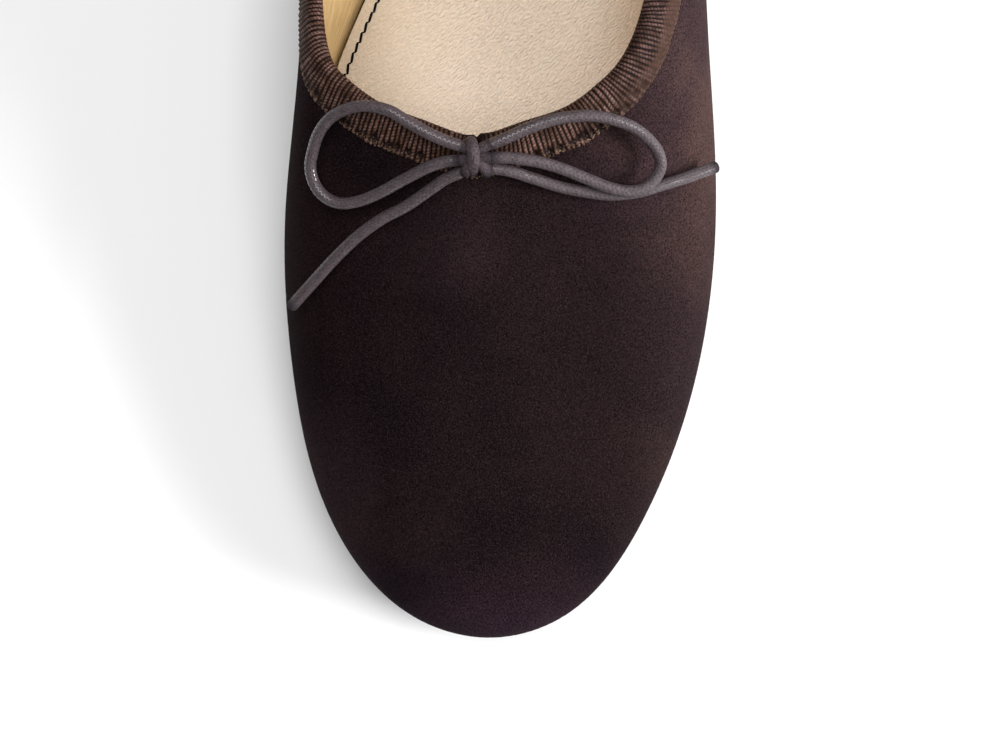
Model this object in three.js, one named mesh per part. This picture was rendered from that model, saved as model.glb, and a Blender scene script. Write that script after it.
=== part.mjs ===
// Ballet flat, left shoe: a suede upper open at the collar and underneath, a ribbon binding over the
// collar's edge, an insole, a thin leather sole, a low heel, and the bow of the draw cord.
// Millimetres. +X is the shoe's outer side, the toe points to -Y, the heel to +Y, and the floor is z = 0.
import * as THREE from "three";
import { mergeVertices } from "three/addons/utils/BufferGeometryUtils.js";

// Sizes of the last and of what is built on it
const LENGTH = 246; // toe tip to heel back, over the upper
const BALL_WIDTH = 84; // widest part, over the upper
const WAIST_WIDTH = 70; // across the middle of the shoe
const HEEL_WIDTH = 64; // across the heel
const THROAT_HEIGHT = 48; // instep at the throat, above the sole
const QUARTER_HEIGHT = 32; // collar at the waist, above the sole
const COUNTER_HEIGHT = 43; // collar at the heel back, above the sole
const TOE_SPRING = 6; // sole's lift at the toe tip
const HEEL_HEIGHT = 8; // sole's lift over the heel block
const WALL = 1.5; // suede and lining
const SOLE_THICKNESS = 3.2;
const SOLE_MARGIN = 0.8; // how far the sole's edge stands out past the upper's lower edge
const INSOLE_THICKNESS = 2.4;
const HEEL_SEAT_INSET = 0.4; // heel block's top inside the sole's edge
const HEEL_TAPER = 1.6; // heel block's foot inside its top
const HEEL_LENGTH = 53; // heel back to the heel block's front face
const HEEL_HOLLOW = 3; // how far the middle of that face curves back
const BINDING_WIDTH = 6.4; // ribbon's outer leg
const BINDING_INNER_WIDTH = 4.5; // ribbon's inner leg
const BINDING_THICKNESS = 0.7;
const CORD_DIAMETER = 2.3;
const GAP = 0.3; // clearance between pieces that touch on the real shoe

// Mesh steps
const STEPS_PER_ROW = 4; // columns between two rows of the tables
const TUCK_STEPS = 4; // from the lower edge to the widest line
const RISE_STEPS = 10; // from the widest line to the collar
const OUTER_LEG_STEPS = 2; // down the binding's outer leg
const INNER_LEG_STEPS = 1; // down its inner leg
const BEAD_STEPS = 4; // over the collar's edge
const ACROSS_STEPS = 4; // across the soles and the heel
const HEEL_BARS = 12; // from the heel back to the heel's front face
const CORD_SIDES = 8;
const CORD_STEP = 2; // in diameters of the cord

// Steps of the workings
const SPLINE_PASSES = 60;
const SEARCH_STEPS = 40;
const SLOPE_STEP = 0.01; // for tangents that are worked out by differences
const WELD = 1e-4; // points nearer than this are one

// Sections round the shoe. A row holds the widest point: along (from the toe tip, a share of the length),
// out (to the outer side, a share of the section's width) and belly (height above the sole); the collar:
// topAlong, topOut and top; the curve between them: rise (its upright start), reach (how far the collar's
// end runs outwards) and drop (how much it falls there); and tuck (how far the lower edge lies inside).
const COLUMNS = ["along", "out", "belly", "topAlong", "topOut", "top", "rise", "reach", "drop", "tuck"];
const FRONT = { width: BALL_WIDTH, height: THROAT_HEIGHT };
const MIDDLE = { width: WAIST_WIDTH, height: QUARTER_HEIGHT };
const REAR = { width: HEEL_WIDTH, height: COUNTER_HEIGHT };
const SECTIONS = [
  { at: "heel back", of: REAR, row: [1, 0.012, 0.34, 0.98, 0.012, 1, 0.4, 0.4, 0.4, 0.055] },
  { at: "outer heel bend", of: REAR, row: [0.964, 0.36, 0.34, 0.947, 0.31, 0.975, 0.4, 0.4, 0.4, 0.055] },
  { at: "outer heel side", of: REAR, row: [0.84, 0.52, 0.33, 0.838, 0.45, 0.79, 0.4, 0.4, 0.4, 0.06] },
  { at: "outer waist", of: MIDDLE, row: [0.68, 0.52, 0.42, 0.68, 0.435, 0.98, 0.5, 0.5, 0.25, 0.07] },
  { at: "outer shank", of: MIDDLE, row: [0.55, 0.563, 0.42, 0.545, 0.443, 1.17, 0.68, 0.6, 0.14, 0.07] },
  { at: "outer joint", of: FRONT, row: [0.47, 0.483, 0.26, 0.474, 0.328, 0.915, 0.64, 0.6, 0.15, 0.05] },
  { at: "outer ball", of: FRONT, row: [0.345, 0.502, 0.21, 0.427, 0.24, 0.975, 0.48, 0.55, 0.26, 0.04] },
  { at: "outer toes", of: FRONT, row: [0.203, 0.453, 0.21, 0.406, 0.155, 0.99, 0.42, 0.55, 0.45, 0.038] },
  { at: "outer toe corner", of: FRONT, row: [0.0976, 0.339, 0.19, 0.397, 0.08, 1, 0.4, 0.57, 0.6, 0.036] },
  { at: "outer toe front", of: FRONT, row: [0.0163, 0.145, 0.16, 0.389, 0.01, 1, 0.4, 0.61, 0.68, 0.035] },
  { at: "toe tip", of: FRONT, row: [0, -0.014, 0.15, 0.3835, -0.045, 1, 0.4, 0.62, 0.7, 0.035] },
  { at: "inner toe front", of: FRONT, row: [0.0163, -0.199, 0.16, 0.386, -0.1, 1, 0.4, 0.61, 0.68, 0.035] },
  { at: "inner toe corner", of: FRONT, row: [0.0976, -0.398, 0.19, 0.396, -0.18, 1, 0.4, 0.57, 0.6, 0.036] },
  { at: "inner toes", of: FRONT, row: [0.203, -0.478, 0.21, 0.4075, -0.268, 0.99, 0.44, 0.55, 0.45, 0.038] },
  { at: "inner ball", of: FRONT, row: [0.345, -0.496, 0.24, 0.43, -0.362, 0.965, 0.5, 0.6, 0.28, 0.04] },
  { at: "inner joint", of: FRONT, row: [0.462, -0.457, 0.3, 0.472, -0.42, 0.91, 0.5, 1.2, 0.2, 0.073] },
  { at: "inner shank", of: MIDDLE, row: [0.55, -0.525, 0.5, 0.552, -0.508, 1.17, 0.45, 1.3, 0.25, 0.2] },
  { at: "inner waist", of: MIDDLE, row: [0.68, -0.455, 0.56, 0.68, -0.43, 0.98, 0.4, 0.6, 0.35, 0.15] },
  { at: "inner heel side", of: REAR, row: [0.84, -0.485, 0.36, 0.838, -0.42, 0.79, 0.4, 0.4, 0.4, 0.08] },
  { at: "inner heel bend", of: REAR, row: [0.964, -0.335, 0.34, 0.947, -0.285, 0.975, 0.4, 0.4, 0.4, 0.055] },
];

// The curve from the lower edge out and up to the widest line: its start runs out and rises by shares of
// the way, and its end falls straight down by a share of the height
const TUCK_CURVE = { out: 0.5, rise: 0.3, fall: 0.45 };

// The sole's bottom line: its lift along the shoe, in shares of the length and of the spring or the heel
const HEEL_FRONT = 1 - HEEL_LENGTH / LENGTH;
const SOLE_LINE = [
  { along: 0, lift: TOE_SPRING },
  { along: 0.1, lift: 0.38 * TOE_SPRING },
  { along: 0.18, lift: 0.07 * TOE_SPRING },
  { along: 0.24, lift: 0 },
  { along: 0.43, lift: 0 },
  { along: 0.53, lift: 0.2 * HEEL_HEIGHT },
  { along: 0.65, lift: 0.62 * HEEL_HEIGHT },
  { along: HEEL_FRONT - 0.055, lift: 0.92 * HEEL_HEIGHT },
  { along: HEEL_FRONT - 0.015, lift: HEEL_HEIGHT },
  { along: 1, lift: HEEL_HEIGHT },
];

// The sole's edge from the bottom up: height as a share of its thickness, and inset in millimetres
const SOLE_EDGE_PROFILE = [
  { up: 0, inset: 0.7 },
  { up: 0.3, inset: 0 },
  { up: 0.8, inset: 0 },
  { up: 1, inset: 0.4 },
];

// The bow of the draw cord: the points that each length of cord follows, from the knot outwards
const BOW_ROUTES = {
  bow_loop_inner: [
    [-7.4, -28.9, 55.1], [-9.6, -28.2, 55.3], [-13.1, -26.7, 55.5], [-17.1, -24.5, 55.4],
    [-20.8, -22.3, 55], [-25.4, -21.3, 53.7], [-28.7, -21.8, 52.3], [-31.8, -23.3, 50.2],
    [-34.1, -26, 47.9], [-35.4, -29.5, 45.8], [-35.9, -32.5, 44.6], [-35.1, -35.7, 43.9],
    [-33, -38.2, 43.8], [-30.3, -39.3, 44.3], [-26.6, -38.9, 45.6], [-22.7, -37.4, 47.6],
    [-17.9, -34.9, 50.1], [-13.1, -32.6, 52.4], [-9.9, -31.7, 53.3], [-7.4, -31.5, 53.5],
  ],
  bow_loop_outer: [
    [-1.8, -28.6, 55.1], [0.6, -27.7, 55.4], [5.1, -25.7, 55.6], [9.7, -24.1, 55.4], [13.5, -23.4, 54.8],
    [17.5, -23.2, 53.7], [21.5, -23.9, 51.9], [25.3, -25.3, 49.7], [28.2, -27.5, 47.5], [30, -30, 45.8],
    [30.4, -32.4, 44.9], [29.2, -34.8, 44.7], [26.9, -36.6, 45.3], [24.1, -37.1, 46.2],
    [20.8, -36.5, 47.6], [16, -34.7, 49.6], [11.3, -32.9, 51.7], [6.6, -31.7, 53.5], [1.9, -31.1, 54.7],
    [-1.8, -31.1, 55],
  ],
  bow_end_inner: [
    [-7.3, -33.7, 51.9], [-10.2, -34.9, 50.7], [-13.2, -36.9, 48.9], [-17.9, -40, 46.6],
    [-22.4, -42.3, 44.7], [-26.7, -45.3, 42.6], [-30.8, -49, 40.1], [-35.7, -54.2, 36.7],
    [-40, -58.8, 33.3],
  ],
  bow_end_outer: [
    [-1.7, -32.9, 52.4], [1.9, -33.5, 51.7], [6.6, -34.9, 49.6], [11.3, -36.3, 47.6], [16.1, -37.2, 46],
    [20.8, -37.7, 44.4], [26.3, -37.1, 42.3], [31.2, -35.6, 40], [35, -34.4, 37.9], [38.2, -33.2, 35.8],
    [41.4, -32, 33.7],
  ],
};
const KNOT = { x: -4.6, y: -30.8, z: 54.4, radius: 2.4, length: 2.6, slope: 0.33, capSteps: 3, sides: 10 };

// Colours of the materials
const SUEDE = new THREE.MeshStandardMaterial({ color: 0x32262a, roughness: 0.95, metalness: 0 });
const RIBBON = new THREE.MeshStandardMaterial({ color: 0x4a332c, roughness: 0.8, metalness: 0 });
const SOCK = new THREE.MeshStandardMaterial({ color: 0xe1ccb6, roughness: 0.55, metalness: 0 });
const SOLE_LEATHER = new THREE.MeshStandardMaterial({ color: 0x3a2c26, roughness: 0.6, metalness: 0 });
const CORD = new THREE.MeshStandardMaterial({ color: 0x60544f, roughness: 0.5, metalness: 0 });

// A y in the shoe's frame from a share of the length, and the lift of the sole at a y
const alongToY = (along) => (along - 0.5) * LENGTH;

function soleLift(y) {
  const along = THREE.MathUtils.clamp(y / LENGTH + 0.5, 0, 1);
  const last = SOLE_LINE.length - 2;
  const i = Math.min(SOLE_LINE.findLastIndex((point) => point.along <= along), last);
  const slope = (k) => {
    if (k < 0 || k > last) return 0;
    return (SOLE_LINE[k + 1].lift - SOLE_LINE[k].lift) / (SOLE_LINE[k + 1].along - SOLE_LINE[k].along);
  };
  // The tangent at a point is the harmonic mean of its two slopes, and none where the line turns or is flat
  const tangent = (k) => {
    const [before, after] = [slope(k - 1), slope(k)];
    return before * after > 0 ? (2 * before * after) / (before + after) : 0;
  };
  const [low, high] = [SOLE_LINE[i], SOLE_LINE[i + 1]];
  const span = high.along - low.along;
  const u = (along - low.along) / span;
  const startTangent = i === 0 ? slope(0) : tangent(i);
  return (
    low.lift * (1 + 2 * u) * (1 - u) ** 2 +
    startTangent * span * u * (1 - u) ** 2 +
    high.lift * u ** 2 * (3 - 2 * u) -
    tangent(i + 1) * span * u ** 2 * (1 - u)
  );
}

const soleTop = (y) => soleLift(y) + SOLE_THICKNESS;

// A closed cubic spline through values at stops on a ring of a given length
function closedSpline(stops, ring, values) {
  const count = stops.length;
  const span = (i) => (i === count - 1 ? ring : stops[i + 1]) - stops[i];
  const slope = (i) => (values[(i + 1) % count] - values[i]) / span(i);
  const bends = new Array(count).fill(0);
  for (let pass = 0; pass < SPLINE_PASSES; pass++) {
    for (let i = 0; i < count; i++) {
      const [before, after] = [(i + count - 1) % count, (i + 1) % count];
      const pull = 6 * (slope(i) - slope(before)) - span(before) * bends[before] - span(i) * bends[after];
      bends[i] = pull / (2 * (span(before) + span(i)));
    }
  }
  return (place) => {
    const s = THREE.MathUtils.euclideanModulo(place, ring);
    const i = stops.findLastIndex((stop) => stop <= s);
    const after = (i + 1) % count;
    const b = (s - stops[i]) / span(i);
    const a = 1 - b;
    const curve = ((a ** 3 - a) * bends[i] + (b ** 3 - b) * bends[after]) * (span(i) ** 2 / 6);
    return a * values[i] + b * values[after] + curve;
  };
}

// The rows as real lengths, and the splines that run through them
const rows = SECTIONS.map(({ of, row }) => {
  const share = Object.fromEntries(COLUMNS.map((name, k) => [name, row[k]]));
  const topY = alongToY(share.topAlong);
  return {
    x: share.out * of.width,
    y: alongToY(share.along),
    z: soleTop(alongToY(share.along)) + share.belly * of.height,
    topX: share.topOut * of.width,
    topY,
    topZ: soleTop(topY) + share.top * of.height,
    rise: share.rise,
    reach: share.reach,
    drop: share.drop,
    tuck: share.tuck * of.width,
  };
});
const stops = [0];
rows.forEach((row, i) => {
  const next = rows[(i + 1) % rows.length];
  stops.push(stops[i] + Math.hypot(next.x - row.x, next.y - row.y));
});
const ring = stops.pop();
const spline = Object.fromEntries(
  Object.keys(rows[0]).map((name) => [name, closedSpline(stops, ring, rows.map((row) => row[name]))])
);

// The places of the mesh columns on the ring
const columns = stops.flatMap((stop, i) => {
  const next = i === stops.length - 1 ? ring : stops[i + 1];
  return Array.from({ length: STEPS_PER_ROW }, (_, k) => stop + ((next - stop) * k) / STEPS_PER_ROW);
});

// The last's surface. t is -1 at the lower edge, 0 on the widest line and 1 at the collar.
function lastPoint(s, t) {
  const widest = new THREE.Vector3(spline.x(s), spline.y(s), spline.z(s));
  if (t > 0) {
    const collar = new THREE.Vector3(spline.topX(s), spline.topY(s), spline.topZ(s));
    const height = collar.z - widest.z;
    const start = widest.clone();
    start.z += spline.rise(s) * height;
    const end = collar.clone().lerp(widest, spline.reach(s));
    end.z = collar.z - spline.drop(s) * height;
    return new THREE.CubicBezierCurve3(widest, start, end, collar).getPoint(t);
  }
  const inward = new THREE.Vector3(
    spline.y(s + SLOPE_STEP) - spline.y(s - SLOPE_STEP),
    spline.x(s - SLOPE_STEP) - spline.x(s + SLOPE_STEP),
    0
  ).normalize();
  const edge = widest.clone().addScaledVector(inward, spline.tuck(s));
  edge.z = soleTop(edge.y) + GAP;
  const height = widest.z - edge.z;
  const start = edge.clone().lerp(widest, TUCK_CURVE.out);
  start.z = edge.z + TUCK_CURVE.rise * height;
  const end = widest.clone();
  end.z -= TUCK_CURVE.fall * height;
  return new THREE.CubicBezierCurve3(edge, start, end, widest).getPoint(1 + t);
}

const upDirection = (s, t) => {
  const [low, high] = [Math.max(t - SLOPE_STEP, -1), Math.min(t + SLOPE_STEP, 1)];
  return lastPoint(s, high).sub(lastPoint(s, low)).normalize();
};

function outwardNormal(s, t) {
  const round = lastPoint(s + SLOPE_STEP, t).sub(lastPoint(s - SLOPE_STEP, t));
  return upDirection(s, t).cross(round).normalize();
}

// A point off the last's surface, by a distance along its outward normal
const offsetPoint = (s, t, distance) => lastPoint(s, t).addScaledVector(outwardNormal(s, t), distance);

// The place on the last at a distance down the surface from the collar
function placeBelowCollar(s, distance) {
  let left = distance;
  let from = lastPoint(s, 1);
  for (let k = SEARCH_STEPS - 1; k >= 0; k--) {
    const to = lastPoint(s, k / SEARCH_STEPS);
    const step = from.distanceTo(to);
    if (step >= left) return (k + 1 - left / step) / SEARCH_STEPS;
    left -= step;
    from = to;
  }
  return 0;
}

// The place on the last where its surface, moved in by a distance, has risen by a height above the sole
function placeAtHeight(s, inset, height) {
  let [low, high] = [-1, 0];
  for (let pass = 0; pass < SEARCH_STEPS; pass++) {
    const middle = (low + high) / 2;
    const point = offsetPoint(s, middle, -inset);
    if (point.z - soleTop(point.y) < height) low = middle;
    else high = middle;
  }
  return low;
}

// At a pointed end two corners are one, and the empty triangle is left out
function addTriangle(list, a, b, c) {
  if (a.distanceTo(b) < WELD || b.distanceTo(c) < WELD || c.distanceTo(a) < WELD) return;
  for (const corner of [a, b, c]) list.push(corner.x, corner.y, corner.z);
}

function addQuad(list, a, b, c, d) {
  addTriangle(list, a, b, c);
  addTriangle(list, a, c, d);
}

// A named mesh of a geometry whose shared vertices are merged
function closedMesh(name, geometry, material) {
  geometry.deleteAttribute("normal");
  geometry.deleteAttribute("uv");
  const closed = mergeVertices(geometry, WELD);
  closed.computeVertexNormals();
  const mesh = new THREE.Mesh(closed, material);
  mesh.name = name;
  return mesh;
}

function trianglesMesh(name, list, material) {
  const loose = new THREE.BufferGeometry();
  loose.setAttribute("position", new THREE.Float32BufferAttribute(list, 3));
  return closedMesh(name, loose, material);
}

// Joins closed sections round the shoe into a band whose last section meets its first
function bandTriangles(sections) {
  const list = [];
  sections.forEach((section, i) => {
    const next = sections[(i + 1) % sections.length];
    section.forEach((point, k) => {
      const after = (k + 1) % section.length;
      addQuad(list, point, section[after], next[after], next[k]);
    });
  });
  return list;
}

// A slab from bars that cross the shoe, from the heel to the toe. A bar has levels from the bottom up, each
// a row of points from the outer side to the inner side. An end whose points are all one closes itself.
function slabTriangles(bars) {
  const list = [];
  const top = bars[0].length - 1;
  const side = bars[0][0].length - 1;
  for (let i = 0; i + 1 < bars.length; i++) {
    const [bar, next] = [bars[i], bars[i + 1]];
    for (let k = 0; k < side; k++) {
      addQuad(list, bar[top][k], bar[top][k + 1], next[top][k + 1], next[top][k]);
      addQuad(list, bar[0][k], next[0][k], next[0][k + 1], bar[0][k + 1]);
    }
    for (let level = 0; level < top; level++) {
      addQuad(list, bar[level][0], bar[level + 1][0], next[level + 1][0], next[level][0]);
      addQuad(list, bar[level][side], next[level][side], next[level + 1][side], bar[level + 1][side]);
    }
  }
  return list;
}

// The points of a bar between two edge points, each at the height that a function gives for its y
function barRow(outer, inner, heightAt) {
  return Array.from({ length: ACROSS_STEPS + 1 }, (_, k) => {
    const point = outer.clone().lerp(inner, k / ACROSS_STEPS);
    point.z = heightAt(point.y);
    return point;
  });
}

// Bars from the heel back to the toe tip, each between an outer column and the inner one opposite it
function lengthwiseBars(levels) {
  const half = columns.length / 2;
  return Array.from({ length: half + 1 }, (_, i) => {
    const [outer, inner] = [columns[i], columns[(columns.length - i) % columns.length]];
    return levels.map(({ edgeAt, heightAt }) => barRow(edgeAt(outer), edgeAt(inner), heightAt));
  });
}

// The upper: up the outer face, over the collar's edge, down the inner face and round the lower edge
function upperSection(s) {
  const outer = [];
  const inner = [];
  for (let k = -TUCK_STEPS; k <= RISE_STEPS; k++) {
    const t = k < 0 ? k / TUCK_STEPS : k / RISE_STEPS;
    outer.push(offsetPoint(s, t, 0));
    inner.unshift(offsetPoint(s, t, -WALL));
  }
  // The lower edge lies flat on the sole
  const foot = inner[inner.length - 1];
  foot.z = soleTop(foot.y) + GAP;
  return [...outer, ...inner];
}

// The binding: a ribbon folded over the collar, with a round bead that holds the draw cord
function bindingSide(s, distance) {
  const collar = lastPoint(s, 1);
  const normal = outwardNormal(s, 1);
  const up = upDirection(s, 1);
  const centre = collar.clone().addScaledVector(normal, -WALL / 2);
  const points = [];
  for (let k = OUTER_LEG_STEPS; k > 0; k--) {
    const t = placeBelowCollar(s, (BINDING_WIDTH * k) / OUTER_LEG_STEPS);
    points.push(offsetPoint(s, t, distance));
  }
  for (let k = 0; k <= BEAD_STEPS; k++) {
    const angle = (Math.PI * k) / BEAD_STEPS;
    const bead = centre.clone().addScaledVector(normal, (WALL / 2 + distance) * Math.cos(angle));
    points.push(bead.addScaledVector(up, (WALL / 2 + distance) * Math.sin(angle)));
  }
  for (let k = 1; k <= INNER_LEG_STEPS; k++) {
    const t = placeBelowCollar(s, (BINDING_INNER_WIDTH * k) / INNER_LEG_STEPS);
    points.push(offsetPoint(s, t, -WALL - distance));
  }
  return points;
}

const bindingSection = (s) => [
  ...bindingSide(s, GAP + BINDING_THICKNESS),
  ...bindingSide(s, GAP).reverse(),
];

// The insole lies on the sole inside the upper's wall
const insoleInset = WALL + GAP;
const insoleLevels = [0, INSOLE_THICKNESS].map((height) => ({
  edgeAt: (s) => {
    const t = height === 0 ? -1 : placeAtHeight(s, insoleInset, height + GAP);
    return offsetPoint(s, t, -insoleInset);
  },
  heightAt: (y) => soleTop(y) + GAP + height,
}));

// The sole's edge, by a distance out from the upper's lower edge
const soleEdge = (s, distance) => {
  const edge = lastPoint(s, -1);
  const out = outwardNormal(s, -1).setZ(0).normalize();
  return edge.addScaledVector(out, distance);
};

const outsoleLevels = SOLE_EDGE_PROFILE.map(({ up, inset }) => ({
  edgeAt: (s) => soleEdge(s, SOLE_MARGIN - inset),
  heightAt: (y) => soleLift(y) + up * SOLE_THICKNESS,
}));

// The heel block: bars from the heel back to its hollowed front face
function heelBars() {
  const frontY = alongToY(HEEL_FRONT);
  const placeOfFront = (from, to) => {
    let [near, far] = [from, to];
    for (let pass = 0; pass < SEARCH_STEPS; pass++) {
      const middle = (near + far) / 2;
      if (soleEdge(middle, 0).y > frontY) near = middle;
      else far = middle;
    }
    return near;
  };
  const outerFront = placeOfFront(0, ring / 2);
  const innerFront = placeOfFront(ring, ring / 2);
  const levels = [
    { height: 0, inset: HEEL_SEAT_INSET + HEEL_TAPER },
    { height: HEEL_HEIGHT - GAP, inset: HEEL_SEAT_INSET },
  ];
  return Array.from({ length: HEEL_BARS + 1 }, (_, i) => {
    const share = i / HEEL_BARS;
    return levels.map(({ height, inset }) => {
      const outer = soleEdge(outerFront * share, SOLE_MARGIN - inset);
      const inner = soleEdge(ring + (innerFront - ring) * share, SOLE_MARGIN - inset);
      const row = barRow(outer, inner, () => height);
      row.forEach((point, k) => {
        const across = k / ACROSS_STEPS;
        point.y += 4 * across * (1 - across) * share ** 2 * HEEL_HOLLOW;
      });
      return row;
    });
  });
}

// The heel's slab and its front face
function heelTriangles() {
  const bars = heelBars();
  const list = slabTriangles(bars);
  const [bottom, top] = bars[bars.length - 1];
  for (let k = 0; k < ACROSS_STEPS; k++) addQuad(list, bottom[k], top[k], top[k + 1], bottom[k + 1]);
  return list;
}

// The bow: a tube along each route, with flat cut ends that face the knot
function cordMesh([name, points]) {
  const path = new THREE.CatmullRomCurve3(points.map((point) => new THREE.Vector3(...point)));
  const section = new THREE.Shape();
  section.absarc(0, 0, CORD_DIAMETER / 2, 0, 2 * Math.PI);
  const steps = Math.ceil(path.getLength() / (CORD_STEP * CORD_DIAMETER));
  const curveSegments = CORD_SIDES / 2; // a full circle takes this many points twice
  const tube = new THREE.ExtrudeGeometry(section, { steps, curveSegments, extrudePath: path });
  return closedMesh(name, tube, CORD);
}

function knotMesh() {
  const capsule = new THREE.CapsuleGeometry(KNOT.radius, KNOT.length, KNOT.capSteps, KNOT.sides);
  const knot = closedMesh("bow_knot", capsule, CORD);
  knot.rotation.x = KNOT.slope;
  knot.position.set(KNOT.x, KNOT.y, KNOT.z);
  return knot;
}

const group = new THREE.Group();
group.add(
  trianglesMesh("upper", bandTriangles(columns.map(upperSection)), SUEDE),
  trianglesMesh("topline_binding", bandTriangles(columns.map(bindingSection)), RIBBON),
  trianglesMesh("insole", slabTriangles(lengthwiseBars(insoleLevels)), SOCK),
  trianglesMesh("outsole", slabTriangles(lengthwiseBars(outsoleLevels)), SOLE_LEATHER),
  trianglesMesh("heel", heelTriangles(), SOLE_LEATHER),
  knotMesh(),
  ...Object.entries(BOW_ROUTES).map(cordMesh)
);

export default group;
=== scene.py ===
"""Ballet flat, left shoe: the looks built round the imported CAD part.

The shoe's frame is the CAD's: +X is the outer side, the toe points to -Y and the floor is z = 0.
The classes hold their sizes in millimetres, and laid_grid turns them into metres.
"""

from __future__ import annotations

import logging
import math
from dataclasses import dataclass
from enum import Enum
from typing import Any, Sequence

import bpy
import numpy as np
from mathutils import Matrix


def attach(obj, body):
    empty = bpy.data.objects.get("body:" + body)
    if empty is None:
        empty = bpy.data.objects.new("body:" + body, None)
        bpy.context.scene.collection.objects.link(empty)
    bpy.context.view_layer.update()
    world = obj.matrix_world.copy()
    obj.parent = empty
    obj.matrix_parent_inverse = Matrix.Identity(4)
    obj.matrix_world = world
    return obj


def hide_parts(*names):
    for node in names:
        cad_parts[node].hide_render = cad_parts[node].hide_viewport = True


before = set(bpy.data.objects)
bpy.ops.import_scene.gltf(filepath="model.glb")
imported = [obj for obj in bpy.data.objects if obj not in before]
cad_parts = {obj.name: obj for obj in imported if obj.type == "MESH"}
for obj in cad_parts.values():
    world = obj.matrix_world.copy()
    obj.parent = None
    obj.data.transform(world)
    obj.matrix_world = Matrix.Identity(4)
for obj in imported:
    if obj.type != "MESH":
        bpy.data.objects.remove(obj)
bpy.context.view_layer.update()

LOG = logging.getLogger("ballet_flat")
BODY = "root"
MM = 0.001
WELD = 1e-7  # metres
SLOPE_STEP = 0.01  # mm round the last, or a share of its height, for tangents by differences
TINY = 1e-6  # keeps a length from being zero
CURVE_STEPS = 24  # between two points that a cord goes through
WALL_STEPS = 81  # down the last, for lengths
COLLAR_STEPS = 4001  # round the last, for lengths
HALVINGS = 30  # of a search
WAVE_PARTS = ((0.61, 0.35), (1.0, 0.5), (1.73, 0.35))  # share of the length, and weight

Socket = bpy.types.NodeSocket
Pair = tuple[float, float]
Triple = tuple[float, float, float]
Colour = tuple[float, float, float, float]

RISING: Pair = (0.0, 1.0)
FALLING: Pair = (1.0, 0.0)
EVEN: Colour = (1, 1, 1, 1)


class Zone(Enum):
    """The part of the last that a row's width and height belong to."""

    FRONT = "front"
    MIDDLE = "middle"
    REAR = "rear"


class Slot(Enum):
    """Names of the material slots."""

    SUEDE = "suede"
    RIBBON = "ribbon"
    SOCK = "sock"
    SOLE = "sole_leather"
    CORD = "cord"


# The last's rows, from the heel back over the outer side, the toe and the inner side: along, out and belly
# of the widest point, along, out and height of the collar, then rise, reach, drop and tuck of the curves
LAST_ROWS: tuple[tuple[Zone, tuple[float, ...]], ...] = (
    (Zone.REAR, (1, 0.012, 0.34, 0.98, 0.012, 1, 0.4, 0.4, 0.4, 0.055)),
    (Zone.REAR, (0.964, 0.36, 0.34, 0.947, 0.31, 0.975, 0.4, 0.4, 0.4, 0.055)),
    (Zone.REAR, (0.84, 0.52, 0.33, 0.838, 0.45, 0.79, 0.4, 0.4, 0.4, 0.06)),
    (Zone.MIDDLE, (0.68, 0.52, 0.42, 0.68, 0.435, 0.98, 0.5, 0.5, 0.25, 0.07)),
    (Zone.MIDDLE, (0.55, 0.563, 0.42, 0.545, 0.443, 1.17, 0.68, 0.6, 0.14, 0.07)),
    (Zone.FRONT, (0.47, 0.483, 0.26, 0.474, 0.328, 0.915, 0.64, 0.6, 0.15, 0.05)),
    (Zone.FRONT, (0.345, 0.502, 0.21, 0.427, 0.24, 0.975, 0.48, 0.55, 0.26, 0.04)),
    (Zone.FRONT, (0.203, 0.453, 0.21, 0.406, 0.155, 0.99, 0.42, 0.55, 0.45, 0.038)),
    (Zone.FRONT, (0.0976, 0.339, 0.19, 0.397, 0.08, 1, 0.4, 0.57, 0.6, 0.036)),
    (Zone.FRONT, (0.0163, 0.145, 0.16, 0.389, 0.01, 1, 0.4, 0.61, 0.68, 0.035)),
    (Zone.FRONT, (0, -0.014, 0.15, 0.3835, -0.045, 1, 0.4, 0.62, 0.7, 0.035)),
    (Zone.FRONT, (0.0163, -0.199, 0.16, 0.386, -0.1, 1, 0.4, 0.61, 0.68, 0.035)),
    (Zone.FRONT, (0.0976, -0.398, 0.19, 0.396, -0.18, 1, 0.4, 0.57, 0.6, 0.036)),
    (Zone.FRONT, (0.203, -0.478, 0.21, 0.4075, -0.268, 0.99, 0.44, 0.55, 0.45, 0.038)),
    (Zone.FRONT, (0.345, -0.496, 0.24, 0.43, -0.362, 0.965, 0.5, 0.6, 0.28, 0.04)),
    (Zone.FRONT, (0.462, -0.457, 0.3, 0.472, -0.42, 0.91, 0.5, 1.2, 0.2, 0.073)),
    (Zone.MIDDLE, (0.55, -0.525, 0.5, 0.552, -0.508, 1.17, 0.45, 1.3, 0.25, 0.2)),
    (Zone.MIDDLE, (0.68, -0.455, 0.56, 0.68, -0.43, 0.98, 0.4, 0.6, 0.35, 0.15)),
    (Zone.REAR, (0.84, -0.485, 0.36, 0.838, -0.42, 0.79, 0.4, 0.4, 0.4, 0.08)),
    (Zone.REAR, (0.964, -0.335, 0.34, 0.947, -0.285, 0.975, 0.4, 0.4, 0.4, 0.055)),
)

# The sole's bottom line: share of the length, and lift in shares of the toe spring and of the heel
SOLE_LINE: tuple[Triple, ...] = (
    (0, 1, 0),
    (0.1, 0.38, 0),
    (0.18, 0.07, 0),
    (0.24, 0, 0),
    (0.43, 0, 0),
    (0.53, 0, 0.2),
    (0.65, 0, 0.62),
    (1 - 53 / 246 - 0.055, 0, 0.92),
    (1 - 53 / 246 - 0.015, 0, 1),
    (1, 0, 1),
)


# Shape helpers


def unit(vectors: np.ndarray) -> np.ndarray:
    """Vectors at length one."""
    return vectors / np.linalg.norm(vectors, axis=-1, keepdims=True)


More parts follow.
